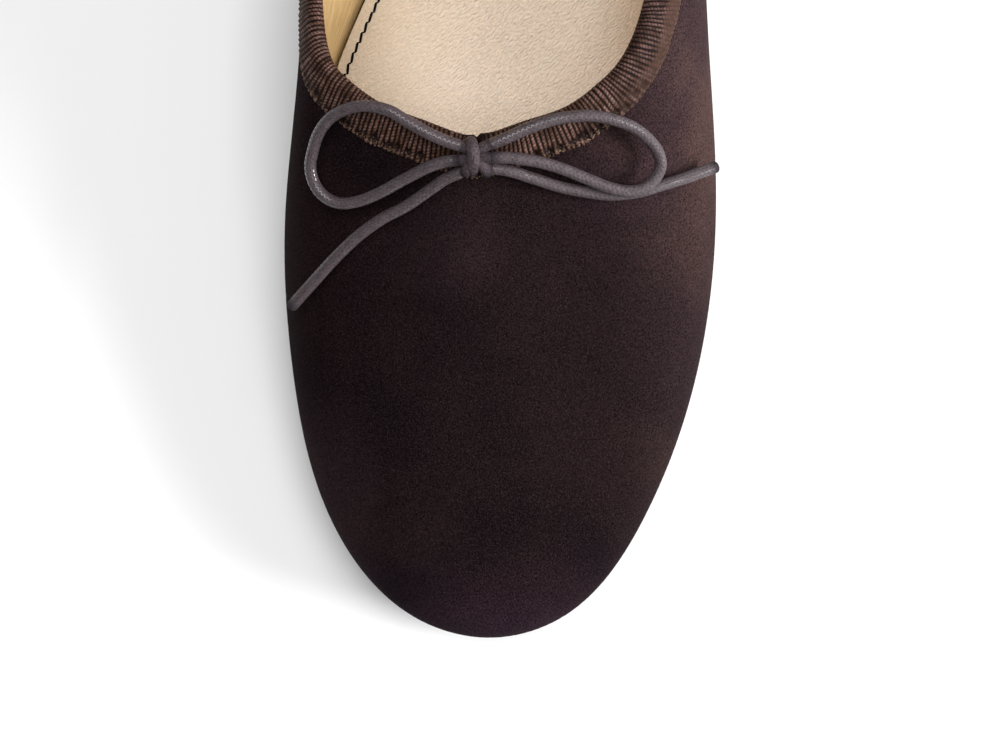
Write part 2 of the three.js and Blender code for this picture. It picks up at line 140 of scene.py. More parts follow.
def run_lengths(line: np.ndarray) -> np.ndarray:
    """How far along a line each of its points lies."""
    return np.append(0, np.cumsum(np.linalg.norm(np.diff(line, axis=0), axis=1)))


def bezier(a: np.ndarray, b: np.ndarray, c: np.ndarray, d: np.ndarray, t: np.ndarray) -> np.ndarray:
    """A cubic curve's points.

    Args:
        a: Its start.
        b: Its first handle.
        c: Its second handle.
        d: Its end.
        t: The places on it, from 0 to 1.

    Returns:
        The points.
    """
    t = t[..., None]
    u = 1 - t
    return u**3 * a + 3 * u * u * t * b + 3 * u * t * t * c + t**3 * d


def through(points: Sequence[Sequence[float]], step: float) -> np.ndarray:
    """A smooth line through points, in even steps.

    Args:
        points: The points, in millimetres.
        step: The distance between two points of the result.

    Returns:
        The line's points.
    """
    given = np.array(points, float)
    ends = np.vstack([2 * given[0] - given[1], given, 2 * given[-1] - given[-2]])
    line: list[np.ndarray] = []
    for p0, p1, p2, p3 in zip(ends, ends[1:], ends[2:], ends[3:]):
        spans = [max(np.linalg.norm(b - a), TINY) ** 0.5 for a, b in ((p0, p1), (p1, p2), (p2, p3))]
        t0, t1, t2, t3 = np.cumsum([0] + spans)
        t = np.linspace(t1, t2, CURVE_STEPS, endpoint=False)[:, None]
        a1 = (t1 - t) / (t1 - t0) * p0 + (t - t0) / (t1 - t0) * p1
        a2 = (t2 - t) / (t2 - t1) * p1 + (t - t1) / (t2 - t1) * p2
        a3 = (t3 - t) / (t3 - t2) * p2 + (t - t2) / (t3 - t2) * p3
        b1 = (t2 - t) / (t2 - t0) * a1 + (t - t0) / (t2 - t0) * a2
        b2 = (t3 - t) / (t3 - t1) * a2 + (t - t1) / (t3 - t1) * a3
        line.extend((t2 - t) / (t2 - t1) * b1 + (t - t1) / (t2 - t1) * b2)
    line.append(given[-1])
    dense = np.array(line)
    length = run_lengths(dense)
    at = np.linspace(0, length[-1], max(2, round(length[-1] / step) + 1))
    return np.stack([np.interp(at, length, dense[:, k]) for k in range(3)], axis=1)


def waves(places: np.ndarray, length: float, seed: int) -> np.ndarray:
    """A soft uneven wave along a line, from about -1 to 1, the same each run.

    Args:
        places: The places along the line.
        length: The wave's usual length.
        seed: The draw that sets its phases.

    Returns:
        The wave's heights.
    """
    draw = np.random.default_rng(seed)
    total = np.zeros_like(places, dtype=float)
    for share, weight in WAVE_PARTS:
        total += weight * np.sin(2 * np.pi * places / (length * share) + draw.uniform(0, 2 * np.pi))
    return total


@dataclass(frozen=True)
class Wave:
    """A soft uneven wave along a line."""

    height: float
    length: float
    seed: int

    def at(self, places: np.ndarray) -> np.ndarray:
        """Its heights at places along the line."""
        return self.height * waves(places, self.length, self.seed)


class RingSpline:
    """A closed cubic spline through rows of values at stops on a ring."""

    def __init__(self, stops: np.ndarray, ring: float, values: np.ndarray) -> None:
        """Solves the spline's bends.

        Args:
            stops: Where each row of values lies on the ring.
            ring: The ring's length.
            values: One row of values a stop.
        """
        self.stops, self.ring, self.values = stops, ring, values
        count = len(stops)
        self.span = np.diff(np.append(stops, ring))
        slope = (np.roll(values, -1, 0) - values) / self.span[:, None]
        matrix = np.zeros((count, count))
        for i in range(count):
            matrix[i, i] = 2 * (self.span[i - 1] + self.span[i])
            matrix[i, i - 1] += self.span[i - 1]
            matrix[i, (i + 1) % count] += self.span[i]
        self.bends = np.linalg.solve(matrix, 6 * (slope - np.roll(slope, 1, 0)))

    def __call__(self, place: np.ndarray) -> np.ndarray:
        """The values at places on the ring.

        Args:
            place: The places, from its start on.

        Returns:
            A row of values for each.
        """
        s = np.mod(place, self.ring)
        i = np.clip(np.searchsorted(self.stops, s, side="right") - 1, 0, len(self.stops) - 1)
        after = (i + 1) % len(self.stops)
        span = self.span[i][..., None]
        b = (s - self.stops[i])[..., None] / span
        a = 1 - b
        curve = ((a**3 - a) * self.bends[i] + (b**3 - b) * self.bends[after]) * span**2 / 6
        return a * self.values[i] + b * self.values[after] + curve


@dataclass
class Last:
    """The last that the shoe is built on, as the CAD has it: places are s, round the shoe, and t, -1 at the
    lower edge, 0 on the widest line and 1 at the collar."""

    length: float = 246.0
    ball_width: float = 84.0
    waist_width: float = 70.0
    heel_width: float = 64.0
    throat_height: float = 48.0
    quarter_height: float = 32.0
    counter_height: float = 43.0
    toe_spring: float = 6.0
    heel_height: float = 8.0
    sole_thickness: float = 3.2
    gap: float = 0.3
    tuck_reach: float = 0.5
    tuck_rise: float = 0.3
    tuck_drop: float = 0.45

    def __post_init__(self) -> None:
        """Turns the rows into real lengths and runs the spline through them."""
        table = np.array(SOLE_LINE)
        self.sole_stops = table[:, 0]
        self.lifts = table[:, 1] * self.toe_spring + table[:, 2] * self.heel_height
        slope = np.diff(self.lifts) / np.diff(self.sole_stops)
        before, after = np.append(0, slope), np.append(slope, 0)
        same = before * after > 0
        self.tangents = np.where(same, 2 * before * after / np.where(same, before + after, 1), 0)
        self.tangents[0] = slope[0]
        sizes = {
            Zone.FRONT: (self.ball_width, self.throat_height),
            Zone.MIDDLE: (self.waist_width, self.quarter_height),
            Zone.REAR: (self.heel_width, self.counter_height),
        }
        rows = []
        for zone, (along, out, belly, top_along, top_out, top, rise, reach, drop, tuck) in LAST_ROWS:
            width, height = sizes[zone]
            y, top_y = (along - 0.5) * self.length, (top_along - 0.5) * self.length
            z, top_z = self.sole_top(y) + belly * height, self.sole_top(top_y) + top * height
            rows.append((out * width, y, z, top_out * width, top_y, top_z, rise, reach, drop, tuck * width))
        values = np.array(rows, float)
        steps = np.hypot(*(np.roll(values[:, :2], -1, 0) - values[:, :2]).T)
        self.ring = float(steps.sum())
        self.spline = RingSpline(np.append(0, np.cumsum(steps)[:-1]), self.ring, values)

    def sole_lift(self, y: Any) -> np.ndarray:
        """The height of the sole's bottom.

        Args:
            y: Places along the shoe.

        Returns:
            A height for each.
        """
        along = np.clip(np.asarray(y, float) / self.length + 0.5, 0, 1)
        i = np.clip(np.searchsorted(self.sole_stops, along, side="right") - 1, 0, len(self.sole_stops) - 2)
        span = self.sole_stops[i + 1] - self.sole_stops[i]
        u = (along - self.sole_stops[i]) / span
        start = self.lifts[i] * (1 + 2 * u) * (1 - u) ** 2 + self.tangents[i] * span * u * (1 - u) ** 2
        return start + self.lifts[i + 1] * u**2 * (3 - 2 * u) - self.tangents[i + 1] * span * u**2 * (1 - u)

    def sole_top(self, y: Any) -> np.ndarray:
        """The height of the sole's top at each y."""
        return self.sole_lift(y) + self.sole_thickness

    def point(self, s: Any, t: Any) -> np.ndarray:
        """The last's surface.

        Args:
            s: Places round the shoe.
            t: Places up the wall.

        Returns:
            A point for each.
        """
        s, t = np.broadcast_arrays(np.asarray(s, float), np.asarray(t, float))
        row = self.spline(s)
        wide, collar = row[..., 0:3], row[..., 3:6]
        height = collar[..., 2] - wide[..., 2]
        start = wide.copy()
        start[..., 2] += row[..., 6] * height
        end = collar + (wide - collar) * row[..., 7:8]
        end[..., 2] = collar[..., 2] - row[..., 8] * height
        side = bezier(wide, start, end, collar, np.clip(t, 0, 1))
        ahead, behind = self.spline(s + SLOPE_STEP), self.spline(s - SLOPE_STEP)
        run = np.stack([ahead[..., 1] - behind[..., 1], behind[..., 0] - ahead[..., 0], 0 * s], axis=-1)
        edge = wide + unit(run) * row[..., 9:10]
        edge[..., 2] = self.sole_top(edge[..., 1]) + self.gap
        height = wide[..., 2] - edge[..., 2]
        start = edge + (wide - edge) * self.tuck_reach
        start[..., 2] = edge[..., 2] + self.tuck_rise * height
        end = wide.copy()
        end[..., 2] -= self.tuck_drop * height
        tuck = bezier(edge, start, end, wide, np.clip(1 + t, 0, 1))
        return np.where((t > 0)[..., None], side, tuck)

    def up(self, s: Any, t: Any) -> np.ndarray:
        """The direction up the surface."""
        t = np.asarray(t, float)
        return unit(self.point(s, np.minimum(t + SLOPE_STEP, 1)) - self.point(s, np.maximum(t - SLOPE_STEP, -1)))

    def normal(self, s: Any, t: Any) -> np.ndarray:
        """The direction out of the surface."""
        s = np.asarray(s, float)
        return unit(np.cross(self.up(s, t), self.point(s + SLOPE_STEP, t) - self.point(s - SLOPE_STEP, t)))

    def offset(self, s: Any, t: Any, distance: Any) -> np.ndarray:
        """Points at a distance out from the surface."""
        return self.point(s, t) + self.normal(s, t) * np.asarray(distance, float)[..., None]

    def below_collar(self, s: np.ndarray, distances: np.ndarray) -> np.ndarray:
        """The places t at distances down the surface from the collar.

        Args:
            s: Places round the shoe, n of them.
            distances: The distances, n rows of them.

        Returns:
            One t for each distance.
        """
        steps = np.linspace(1, 0, WALL_STEPS)
        line = self.point(s[:, None], steps[None, :])
        length = np.cumsum(np.linalg.norm(np.diff(line, axis=1), axis=2), axis=1)
        length = np.concatenate([np.zeros((len(s), 1)), length], axis=1)
        return np.stack([np.interp(d, run, steps) for d, run in zip(distances, length)])

    def at_height(self, s: np.ndarray, inset: float, height: float) -> np.ndarray:
        """The places up the wall where the surface, moved in, has risen to a height above the sole.

        Args:
            s: Places round the shoe.
            inset: How far the surface is moved in.
            height: The height.

        Returns:
            One t for each s.
        """
        low, high = np.full(s.shape, -1.0), np.zeros(s.shape)
        for _ in range(HALVINGS):
            middle = (low + high) / 2
            point = self.offset(s, middle, np.full(s.shape, -inset))
            under = point[..., 2] - self.sole_top(point[..., 1]) < height
            low, high = np.where(under, middle, low), np.where(under, high, middle)
        return low

    def collar_places(self, step: float) -> tuple[np.ndarray, np.ndarray]:
        """Places at even steps along the collar's edge.

        Args:
            step: The distance between two places.

        Returns:
            The places s, and their distances along the collar from the heel back.
        """
        s = np.linspace(0, self.ring, COLLAR_STEPS)
        length = run_lengths(self.point(s, 1))
        at = np.linspace(0, length[-1], round(length[-1] / step) + 1)
        return np.interp(at, length, s), at

    def bars(self, count: int) -> tuple[np.ndarray, np.ndarray]:
        """Places opposite each other, from the heel back to the toe tip.

        Args:
            count: How many pairs.

        Returns:
            The places on the outer side, and those on the inner side.
        """
        stops = self.spline.stops
        half = len(stops) // 2
        at = np.linspace(0, half, count)
        outer = np.interp(at, np.arange(half + 1), stops[: half + 1])
        back = np.append(self.ring, stops[:0:-1])
        return outer, np.interp(at, np.arange(half + 1), back[: half + 1])

    def sole_edge(self, s: np.ndarray, distance: Any) -> np.ndarray:
        """The upper's lower edge, moved out by a distance on the level."""
        out = self.normal(s, -1.0) * np.array([1, 1, 0])
        return self.point(s, -1.0) + unit(out) * np.asarray(distance, float)[..., None]


def start_fresh() -> None:
    """Leaves object mode clean, with nothing selected."""
    if bpy.context.object is not None and bpy.context.object.mode != "OBJECT":
        bpy.ops.object.mode_set(mode="OBJECT")
    bpy.ops.object.select_all(action="DESELECT")


def vertex_places(mesh: bpy.types.Mesh) -> np.ndarray:
    """A mesh's points.

    Args:
        mesh: The mesh.

    Returns:
        Its points, one a row.
    """
    flat = np.empty(len(mesh.vertices) * 3)
    mesh.vertices.foreach_get("co", flat)
    return flat.reshape(-1, 3)


def laid_grid(
    name: str, places: np.ndarray, uv: np.ndarray, flip: bool = False, caps: bool = False
) -> bpy.types.Object:
    """A primitive grid laid point by point over a shape, its meeting edges merged.

    Args:
        name: The piece's name.
        places: Rows by columns of points, in millimetres.
        uv: Rows by columns of pattern places, in millimetres.
        flip: Turns the faces over.
        caps: Fills the open ends.

    Returns:
        The piece, in metres.
    """
    rows, columns = places.shape[:2]
    start_fresh()
    bpy.ops.mesh.primitive_grid_add(x_subdivisions=columns - 1, y_subdivisions=rows - 1, size=2)
    piece = bpy.context.object
    piece.name = piece.data.name = name
    mesh = piece.data
    flat = vertex_places(mesh)
    column = np.rint((flat[:, 0] + 1) / 2 * (columns - 1)).astype(int)
    row = np.rint((flat[:, 1] + 1) / 2 * (rows - 1)).astype(int)
    mesh.vertices.foreach_set("co", (places[row, column] * MM).ravel())
    corner = np.empty(len(mesh.loops), int)
    mesh.loops.foreach_get("vertex_index", corner)
    mesh.uv_layers[0].data.foreach_set("uv", uv[row[corner], column[corner]].ravel())
    bpy.ops.object.mode_set(mode="EDIT")
    bpy.ops.mesh.select_all(action="SELECT")
    bpy.ops.mesh.remove_doubles(threshold=WELD)
    if flip:
        bpy.ops.mesh.flip_normals()
    if caps:
        bpy.ops.mesh.select_all(action="DESELECT")
        bpy.ops.mesh.select_mode(type="EDGE")
        bpy.ops.mesh.select_non_manifold(
            extend=False, use_wire=False, use_multi_face=False, use_non_contiguous=False, use_verts=False
        )
        bpy.ops.mesh.fill_holes(sides=0)
    bpy.ops.mesh.select_all(action="DESELECT")
    bpy.ops.object.mode_set(mode="OBJECT")
    bpy.ops.object.shade_smooth()
    return piece


def finish_with(piece: bpy.types.Object, kind: str, **settings: Any) -> None:
    """Adds a modifier to a piece and applies it.

    Args:
        piece: The piece.
        kind: Blender's name for the modifier's type.
        settings: The modifier's values.
    """
    start_fresh()
    bpy.context.view_layer.objects.active = piece
    piece.select_set(True)
    modifier = piece.modifiers.new(kind.lower(), kind)
    for key, value in settings.items():
        setattr(modifier, key, value)
    bpy.ops.object.modifier_apply(modifier=modifier.name)


def joined(name: str, parts: Sequence[bpy.types.Object]) -> bpy.types.Object:
    """Several meshes as one piece.

    Args:
        name: The piece's name.
        parts: The meshes.

    Returns:
        The piece.
    """
    start_fresh()
    for part in parts:
        part.select_set(True)
    bpy.context.view_layer.objects.active = parts[0]
    bpy.ops.object.join()
    piece = bpy.context.object
    piece.name = piece.data.name = name
    return piece


def note_heights(piece: bpy.types.Object, name: str, values: np.ndarray) -> None:
    """Keeps a value for each point of a piece, for its material."""
    attribute = piece.data.attributes.new(name, "FLOAT", "POINT")
    attribute.data.foreach_set("value", values.astype(np.float32))


def mount(piece: bpy.types.Object, finish: Finish, slot: Slot, *nodes: str) -> bpy.types.Object:
    """Dresses a piece and puts it on the shoe.

    Args:
        piece: The piece.
        finish: What it is made of.
        slot: Not used.
        nodes: The CAD nodes that it stands for.

    Returns:
        The piece.
    """
    piece.data.materials.clear()
    piece.data.materials.append(finish.material())
    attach(piece, BODY)
    if nodes:
        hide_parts(*nodes)
    LOG.info("%s: %d faces", piece.name, len(piece.data.polygons))
    return piece


# Finishes


MIX_FIRST, MIX_SECOND = 6, 7  # the colour sockets of a Mix node


class Shader:
    """A node tree with short calls to add nodes and join them."""

    def __init__(self, tree: bpy.types.NodeTree) -> None:
        """Starts on an empty tree."""
        self.tree = tree
        tree.nodes.clear()

    def fill(self, node: bpy.types.Node, values: dict[Any, Any]) -> bpy.types.Node:
        """Sets a node's inputs, or joins them.

        Args:
            node: The node.
            values: What goes into its inputs: numbers, colours or sockets.

        Returns:
            The node.
        """
        for key, value in values.items():
            if isinstance(value, Socket):
                self.tree.links.new(value, node.inputs[key])
            else:
                node.inputs[key].default_value = value
        return node

    def add(self, kind: str, values: dict[Any, Any] | None = None, **settings: Any) -> bpy.types.Node:
        """Adds a node.

        Args:
            kind: The node's type, without ShaderNode.
            values: What goes into its inputs: numbers, colours or sockets.
            settings: The node's own settings.

        Returns:
            The node.
        """
        node = self.tree.nodes.new("ShaderNode" + kind)
        for key, value in settings.items():
            setattr(node, key, value)
        return self.fill(node, values or {})

    def group(self, effect: type["Effect"], values: dict[str, Any]) -> bpy.types.Node:
        """Places a shared effect with its own values."""
        return self.fill(self.add("Group", node_tree=effect.tree()), values)

    def place(self) -> Socket:
        """The place on the shoe, in metres."""
        return self.add("TexCoord").outputs["Object"]

    def pattern(self) -> Socket:
        """The piece's own pattern place, in millimetres."""
        return self.add("UVMap").outputs["UV"]

    def kept(self, name: str) -> Socket:
        """A value that the mesh keeps for each point."""
        return self.add("Attribute", attribute_name=name).outputs["Fac"]

    def parts(self, vector: Socket) -> list[Socket]:
        """A vector's x, y and z."""
        return list(self.add("SeparateXYZ", {0: vector}).outputs)

    def math(self, operation: str, a: Any, b: Any = 0.0, clamp: bool = False) -> Socket:
        """What an operation makes of two values."""
        return self.add("Math", {0: a, 1: b}, operation=operation, use_clamp=clamp).outputs[0]

    def plus(self, a: Any, b: Any) -> Socket:
        """Two values added."""
        return self.math("ADD", a, b)

    def minus(self, a: Any, b: Any) -> Socket:
        """One value less another."""
        return self.math("SUBTRACT", a, b)

    def times(self, a: Any, b: Any) -> Socket:
        """Two values multiplied."""
        return self.math("MULTIPLY", a, b)

    def noise(self, vector: Socket, scale: Any, detail: float = 2.0, rough: float = 0.5) -> Socket:
        """Noise from about 0 to 1 on a vector."""
        values = {"Vector": vector, "Scale": scale, "Detail": detail, "Roughness": rough}
        return self.add("TexNoise", values).outputs["Fac"]

    def between(self, value: Any, given: Pair, made: Pair = RISING) -> Socket:
        """A value's range moved softly to another, and held inside it."""
        values = {"Value": value, "From Min": given[0], "From Max": given[1], "To Min": made[0], "To Max": made[1]}
        return self.add("MapRange", values, interpolation_type="SMOOTHSTEP").outputs["Result"]

    def blend(self, share: Any, a: Any, b: Any, how: str = "MIX") -> Socket:
        """Two colours mixed by a share."""
        values = {"Factor": share, MIX_FIRST: a, MIX_SECOND: b}
        return self.add("Mix", values, data_type="RGBA", blend_type=how).outputs[2]

    def tinted(self, colour: Any, tint: Any) -> Socket:
        """A colour multiplied by another."""
        return self.blend(1.0, colour, tint, "MULTIPLY")

    def grey(self, value: Socket) -> Socket:
        """A value as a colour without a hue."""
        return self.add("CombineColor", {0: value, 1: value, 2: value}).outputs[0]

    def stretched(self, vector: Socket, scale: Triple, turn: float = 0.0) -> Socket:
        """A vector scaled along its axes, after a turn about z in degrees."""
        turned = self.add("Mapping", {"Vector": vector, "Rotation": (0, 0, math.radians(turn))}).outputs[0]
        return self.add("Mapping", {"Vector": turned, "Scale": scale}).outputs[0]

    def spot(self, across: Socket, along: Socket, patch: "Patch") -> Socket:
        """A value that changes softly from the middle of a round patch to its rim."""
        squares = [
            self.math("POWER", self.math("DIVIDE", self.minus(place, centre), reach), 2.0)
            for place, centre, reach in zip((across, along), patch.centre, patch.reach)
        ]
        return self.between(self.plus(*squares), RISING, (patch.inside, patch.outside))

    def mottled(self, vector: Socket, scales: Pair, speckle: float, dark: Colour, light: Colour) -> bpy.types.Node:
        """Places the mottling, with the scales of its patches and of its speckle."""
        values = {"Vector": vector, "Patch Scale": scales[0], "Speckle Scale": scales[1], "Speckle": speckle}
        return self.group(Mottling, {**values, "Dark": dark, "Light": light})


@dataclass(frozen=True)
class Patch:
    """A round patch on the shoe, seen from above, in metres."""

    centre: Pair
    reach: Pair
    inside: float
    outside: float


class Effect:
    """A shader node group that several finishes share."""

    name = "effect"
    inputs: tuple[tuple[str, str, Any], ...] = ()
    outputs: tuple[tuple[str, str], ...] = ()

    @classmethod
    def tree(cls) -> bpy.types.NodeTree:
        """The group, built once."""
        found = bpy.data.node_groups.get(cls.name)
        if found is not None:
            return found
        tree = bpy.data.node_groups.new(cls.name, "ShaderNodeTree")
        for name, kind, value in cls.inputs:
            socket = tree.interface.new_socket(name=name, in_out="INPUT", socket_type=kind)
            if value is not None:
                socket.default_value = value
        for name, kind in cls.outputs:
            tree.interface.new_socket(name=name, in_out="OUTPUT", socket_type=kind)
        shader = Shader(tree)
        given = tree.nodes.new("NodeGroupInput")
        result = tree.nodes.new("NodeGroupOutput")
        for name, socket in cls.work(shader, given.outputs).items():
            tree.links.new(socket, result.inputs[name])
        return tree

    @classmethod
    def work(cls, shader: Shader, given: Any) -> dict[str, Socket]:
        """The group's nodes.

        Args:
            shader: The group's tree.
            given: The group's inputs.

        Returns:
            A socket for each output.
        """
        raise NotImplementedError


class Mottling(Effect):
    """Soft patches of two colours, with a fine speckle."""

    name = "mottling"
    inputs = (
        ("Vector", "NodeSocketVector", None),
        ("Patch Scale", "NodeSocketFloat", 40.0),
        ("Speckle Scale", "NodeSocketFloat", 1500.0),
        ("Speckle", "NodeSocketFloat", 0.3),
        ("Dark", "NodeSocketColor", (0, 0, 0, 1)),
        ("Light", "NodeSocketColor", (1, 1, 1, 1)),
    )
    outputs = (("Color", "NodeSocketColor"), ("Speckle", "NodeSocketFloat"))
    patch_detail = 3.0
    patch_range = (0.34, 0.66)

    @classmethod
    def work(cls, shader: Shader, given: Any) -> dict[str, Socket]:
        """Large noise picks the patch, fine noise shades it."""
        patch = shader.noise(given["Vector"], given["Patch Scale"], cls.patch_detail)
        colour = shader.blend(shader.between(patch, cls.patch_range), given["Dark"], given["Light"])
        speck = shader.noise(given["Vector"], given["Speckle Scale"])
        swing = shader.times(shader.minus(speck, 0.5), given["Speckle"])
        factor = shader.plus(shader.times(swing, 2.0), 1.0)
        return {"Color": shader.tinted(colour, shader.grey(factor)), "Speckle": speck}


class Grain(Effect):
    """A pressed leather's pebbles, higher in the middle, with fine pores."""

    name = "leather_grain"
    inputs = (("Vector", "NodeSocketVector", None), ("Scale", "NodeSocketFloat", 1000.0))
    outputs = (("Height", "NodeSocketFloat"), ("Pores", "NodeSocketFloat"))
    bend = (0.00013, 0.00013, 0.00013)
    bend_detail = 2.0
    softness = 0.6
    pore_scale = 2.7
    pore_height = 0.35

    @classmethod
    def work(cls, shader: Shader, given: Any) -> dict[str, Socket]:
        """Noise bends the pebbles' outlines, and finer noise gives the pores."""
        values = {"Vector": given["Vector"], "Scale": given["Scale"], "Detail": cls.bend_detail}
        bend = shader.add("TexNoise", values).outputs["Color"]
        shift = shader.add("VectorMath", {0: bend, 1: cls.bend}, operation="MULTIPLY").outputs[0]
        place = shader.add("VectorMath", {0: given["Vector"], 1: shift}, operation="ADD").outputs[0]
        values = {"Vector": place, "Scale": given["Scale"], "Smoothness": cls.softness}
        pebble = shader.add("TexVoronoi", values, feature="SMOOTH_F1").outputs["Distance"]
        pores = shader.noise(given["Vector"], shader.times(given["Scale"], cls.pore_scale))
        height = shader.plus(shader.minus(1.0, pebble), shader.times(pores, cls.pore_height))
        return {"Height": height, "Pores": pores}


class Yarn(Effect):
    """Crossed strands on a pattern place in millimetres: a braid on a cord, twisted yarn on a ribbon."""

    name = "crossed_yarn"
    inputs = (
        ("Vector", "NodeSocketVector", None),
        ("Across", "NodeSocketFloat", 1.0),
        ("Along", "NodeSocketFloat", 1.0),
    )
    outputs = (("Height", "NodeSocketFloat"), ("Twist", "NodeSocketFloat"))

    @classmethod
    def work(cls, shader: Shader, given: Any) -> dict[str, Socket]:
        """Two slanted waves, the higher one on top, and the first of them alone."""
        x, y, _ = shader.parts(given["Vector"])
        across, along = shader.times(x, given["Across"]), shader.times(y, given["Along"])
        one = shader.math("SINE", shader.plus(across, along))
        other = shader.math("SINE", shader.minus(across, along))
        return {"Height": shader.math("MAXIMUM", one, other), "Twist": one}


MATERIALS: dict[str, bpy.types.Material] = {}  # the finishes that are built


@dataclass(frozen=True)
class Finish:
    """What a piece is made of: the constant values of its shader."""

    name: str
    roughness: float = 0.6
    specular: float = 0.5
    sheen: float = 0.0
    sheen_roughness: float = 0.5
    sheen_tint: Colour = EVEN
    coat: float = 0.0
    coat_roughness: float = 0.2
    metallic: float = 0.0
    bump: float = 0.5
    bump_depth: float = 0.0002

    def material(self) -> bpy.types.Material:
        """The finish's material, built once."""
        if self.name in MATERIALS:
            return MATERIALS[self.name]
        material = MATERIALS[self.name] = bpy.data.materials.new(self.name)
        material.use_nodes = True
        shader = Shader(material.node_tree)
        fixed = {
            "Roughness": self.roughness,
            "Specular IOR Level": self.specular,
            "Sheen Weight": self.sheen,
            "Sheen Roughness": self.sheen_roughness,
            "Sheen Tint": self.sheen_tint,
            "Coat Weight": self.coat,
            "Coat Roughness": self.coat_roughness,
            "Metallic": self.metallic,
        }
        skin = shader.add("BsdfPrincipled", fixed)
        for name, socket in self.surface(shader).items():
            if name == "Height":
                values = {"Strength": self.bump, "Distance": self.bump_depth, "Height": socket}
                socket, name = shader.add("Bump", values).outputs[0], "Normal"
            shader.tree.links.new(socket, skin.inputs[name])
        out = shader.add("OutputMaterial")
        shader.tree.links.new(skin.outputs[0], out.inputs[0])
        return material

    def surface(self, shader: Shader) -> dict[str, Socket]:
        """What changes over the surface.

        Args:
            shader: The material's tree.

        Returns:
            Sockets for the shader's inputs, and Height for the bump.
        """
        raise NotImplementedError


@dataclass(frozen=True)
class Suede(Finish):
    """Dark brown suede with a short, brush-raised nap; painted light lifts the outer side and painted shade darkens
    the inner side.

    Each cast multiplies the colour on its own area, given by ranges across and along the shoe, in metres.
    """

    dark: Colour = (0.0066, 0.0036, 0.0048, 1)
    light: Colour = (0.0108, 0.0058, 0.0063, 1)
    cloud_scales: Pair = (42.0, 2700.0)
    speckle: float = 1.6
    wander_scale: float = 26.0
    wander_detail: float = 3.0
    wander: float = 0.016  # how far the areas' borders sway
    # painted shade: the inner side is darkened, as the light falls from the outer side
    inner_painted_shade: Colour = (0.78, 0.64, 0.72, 1)
    inner_across: Pair = (-0.042, -0.010)
    inner_along: Pair = (-0.092, -0.060)
    # painted light: the outer side is made lighter, where the light falls on it
    outer_painted_lighting: Colour = (3.0, 3.15, 2.7, 1)
    outer_across: Pair = (0.014, 0.047)
    outer_pivot: float = 0.0577
    outer_slant: float = 0.13
    # painted light on the upper outer side
    upper_painted_light: Colour = (1.6, 1.6, 1.55, 1)
    upper_across: Pair = (0.004, 0.030)
    upper_along: Pair = (-0.062, -0.016)
    toe_cast: Colour = (1.3, 1.25, 1.7, 1)
    toe_along: Pair = (-0.123, -0.1)
    # patches where the suede's colour is made lighter
    lighter_patches: tuple[Patch, ...] = (
        Patch((-0.010, -0.048), (0.014, 0.013), 1.6, 1.0),
        Patch((-0.037, -0.101), (0.017, 0.032), 2.2, 1.0),
        Patch((-0.003, -0.124), (0.034, 0.011), 1.5, 1.0),
        Patch((0.023, -0.034), (0.014, 0.011), 1.5, 1.0),
    )
    fibre: Colour = (0.070, 0.050, 0.048, 1)
    fibre_scale: float = 3600.0
    fibre_detail: float = 1.0
    fibre_range: Pair = (0.5, 0.78)
    fibre_share: Pair = (0.0, 0.22)
    fibre_height: float = 0.5

    def surface(self, shader: Shader) -> dict[str, Socket]:
        """Patches, speckle and single pale fibres over painted light on the outer side and painted shade on the inner
        side.
        """
        place = shader.place()
        x, along, _ = shader.parts(place)
        sway = shader.minus(shader.noise(place, self.wander_scale, self.wander_detail), 0.5)
        across = shader.plus(x, shader.times(sway, self.wander))
        inner_share = shader.between(across, self.inner_across, FALLING)
        inner_share = shader.times(inner_share, shader.between(along, self.inner_along))
        # painted shade on the inner side
        inner = shader.blend(inner_share, EVEN, self.inner_painted_shade)
        slanted = shader.plus(across, shader.times(shader.plus(along, self.outer_pivot), self.outer_slant))
        # painted light towards the outer side, over the inner side's painted shade
        outer = shader.blend(shader.between(slanted, self.outer_across), inner, self.outer_painted_lighting)
        upper_share = shader.times(shader.between(across, self.upper_across), shader.between(along, self.upper_along))
        upper = shader.blend(upper_share, EVEN, self.upper_painted_light)
        toe = shader.blend(shader.between(along, self.toe_along, FALLING), EVEN, self.toe_cast)
        # painted light and shade on the sides, with the toe's tint and the lighter patches
        cast = shader.tinted(outer, shader.tinted(upper, toe))
        for patch in self.lighter_patches:
            cast = shader.tinted(cast, shader.grey(shader.spot(across, along, patch)))
        cloth = shader.mottled(place, self.cloud_scales, self.speckle, self.dark, self.light)
        fine = shader.noise(place, self.fibre_scale, self.fibre_detail)
        share = shader.between(fine, self.fibre_range, self.fibre_share)
        colour = shader.blend(share, shader.tinted(cloth.outputs["Color"], cast), self.fibre)
        nap = shader.plus(cloth.outputs["Speckle"], shader.times(fine, self.fibre_height))
        return {"Base Color": colour, "Height": nap}


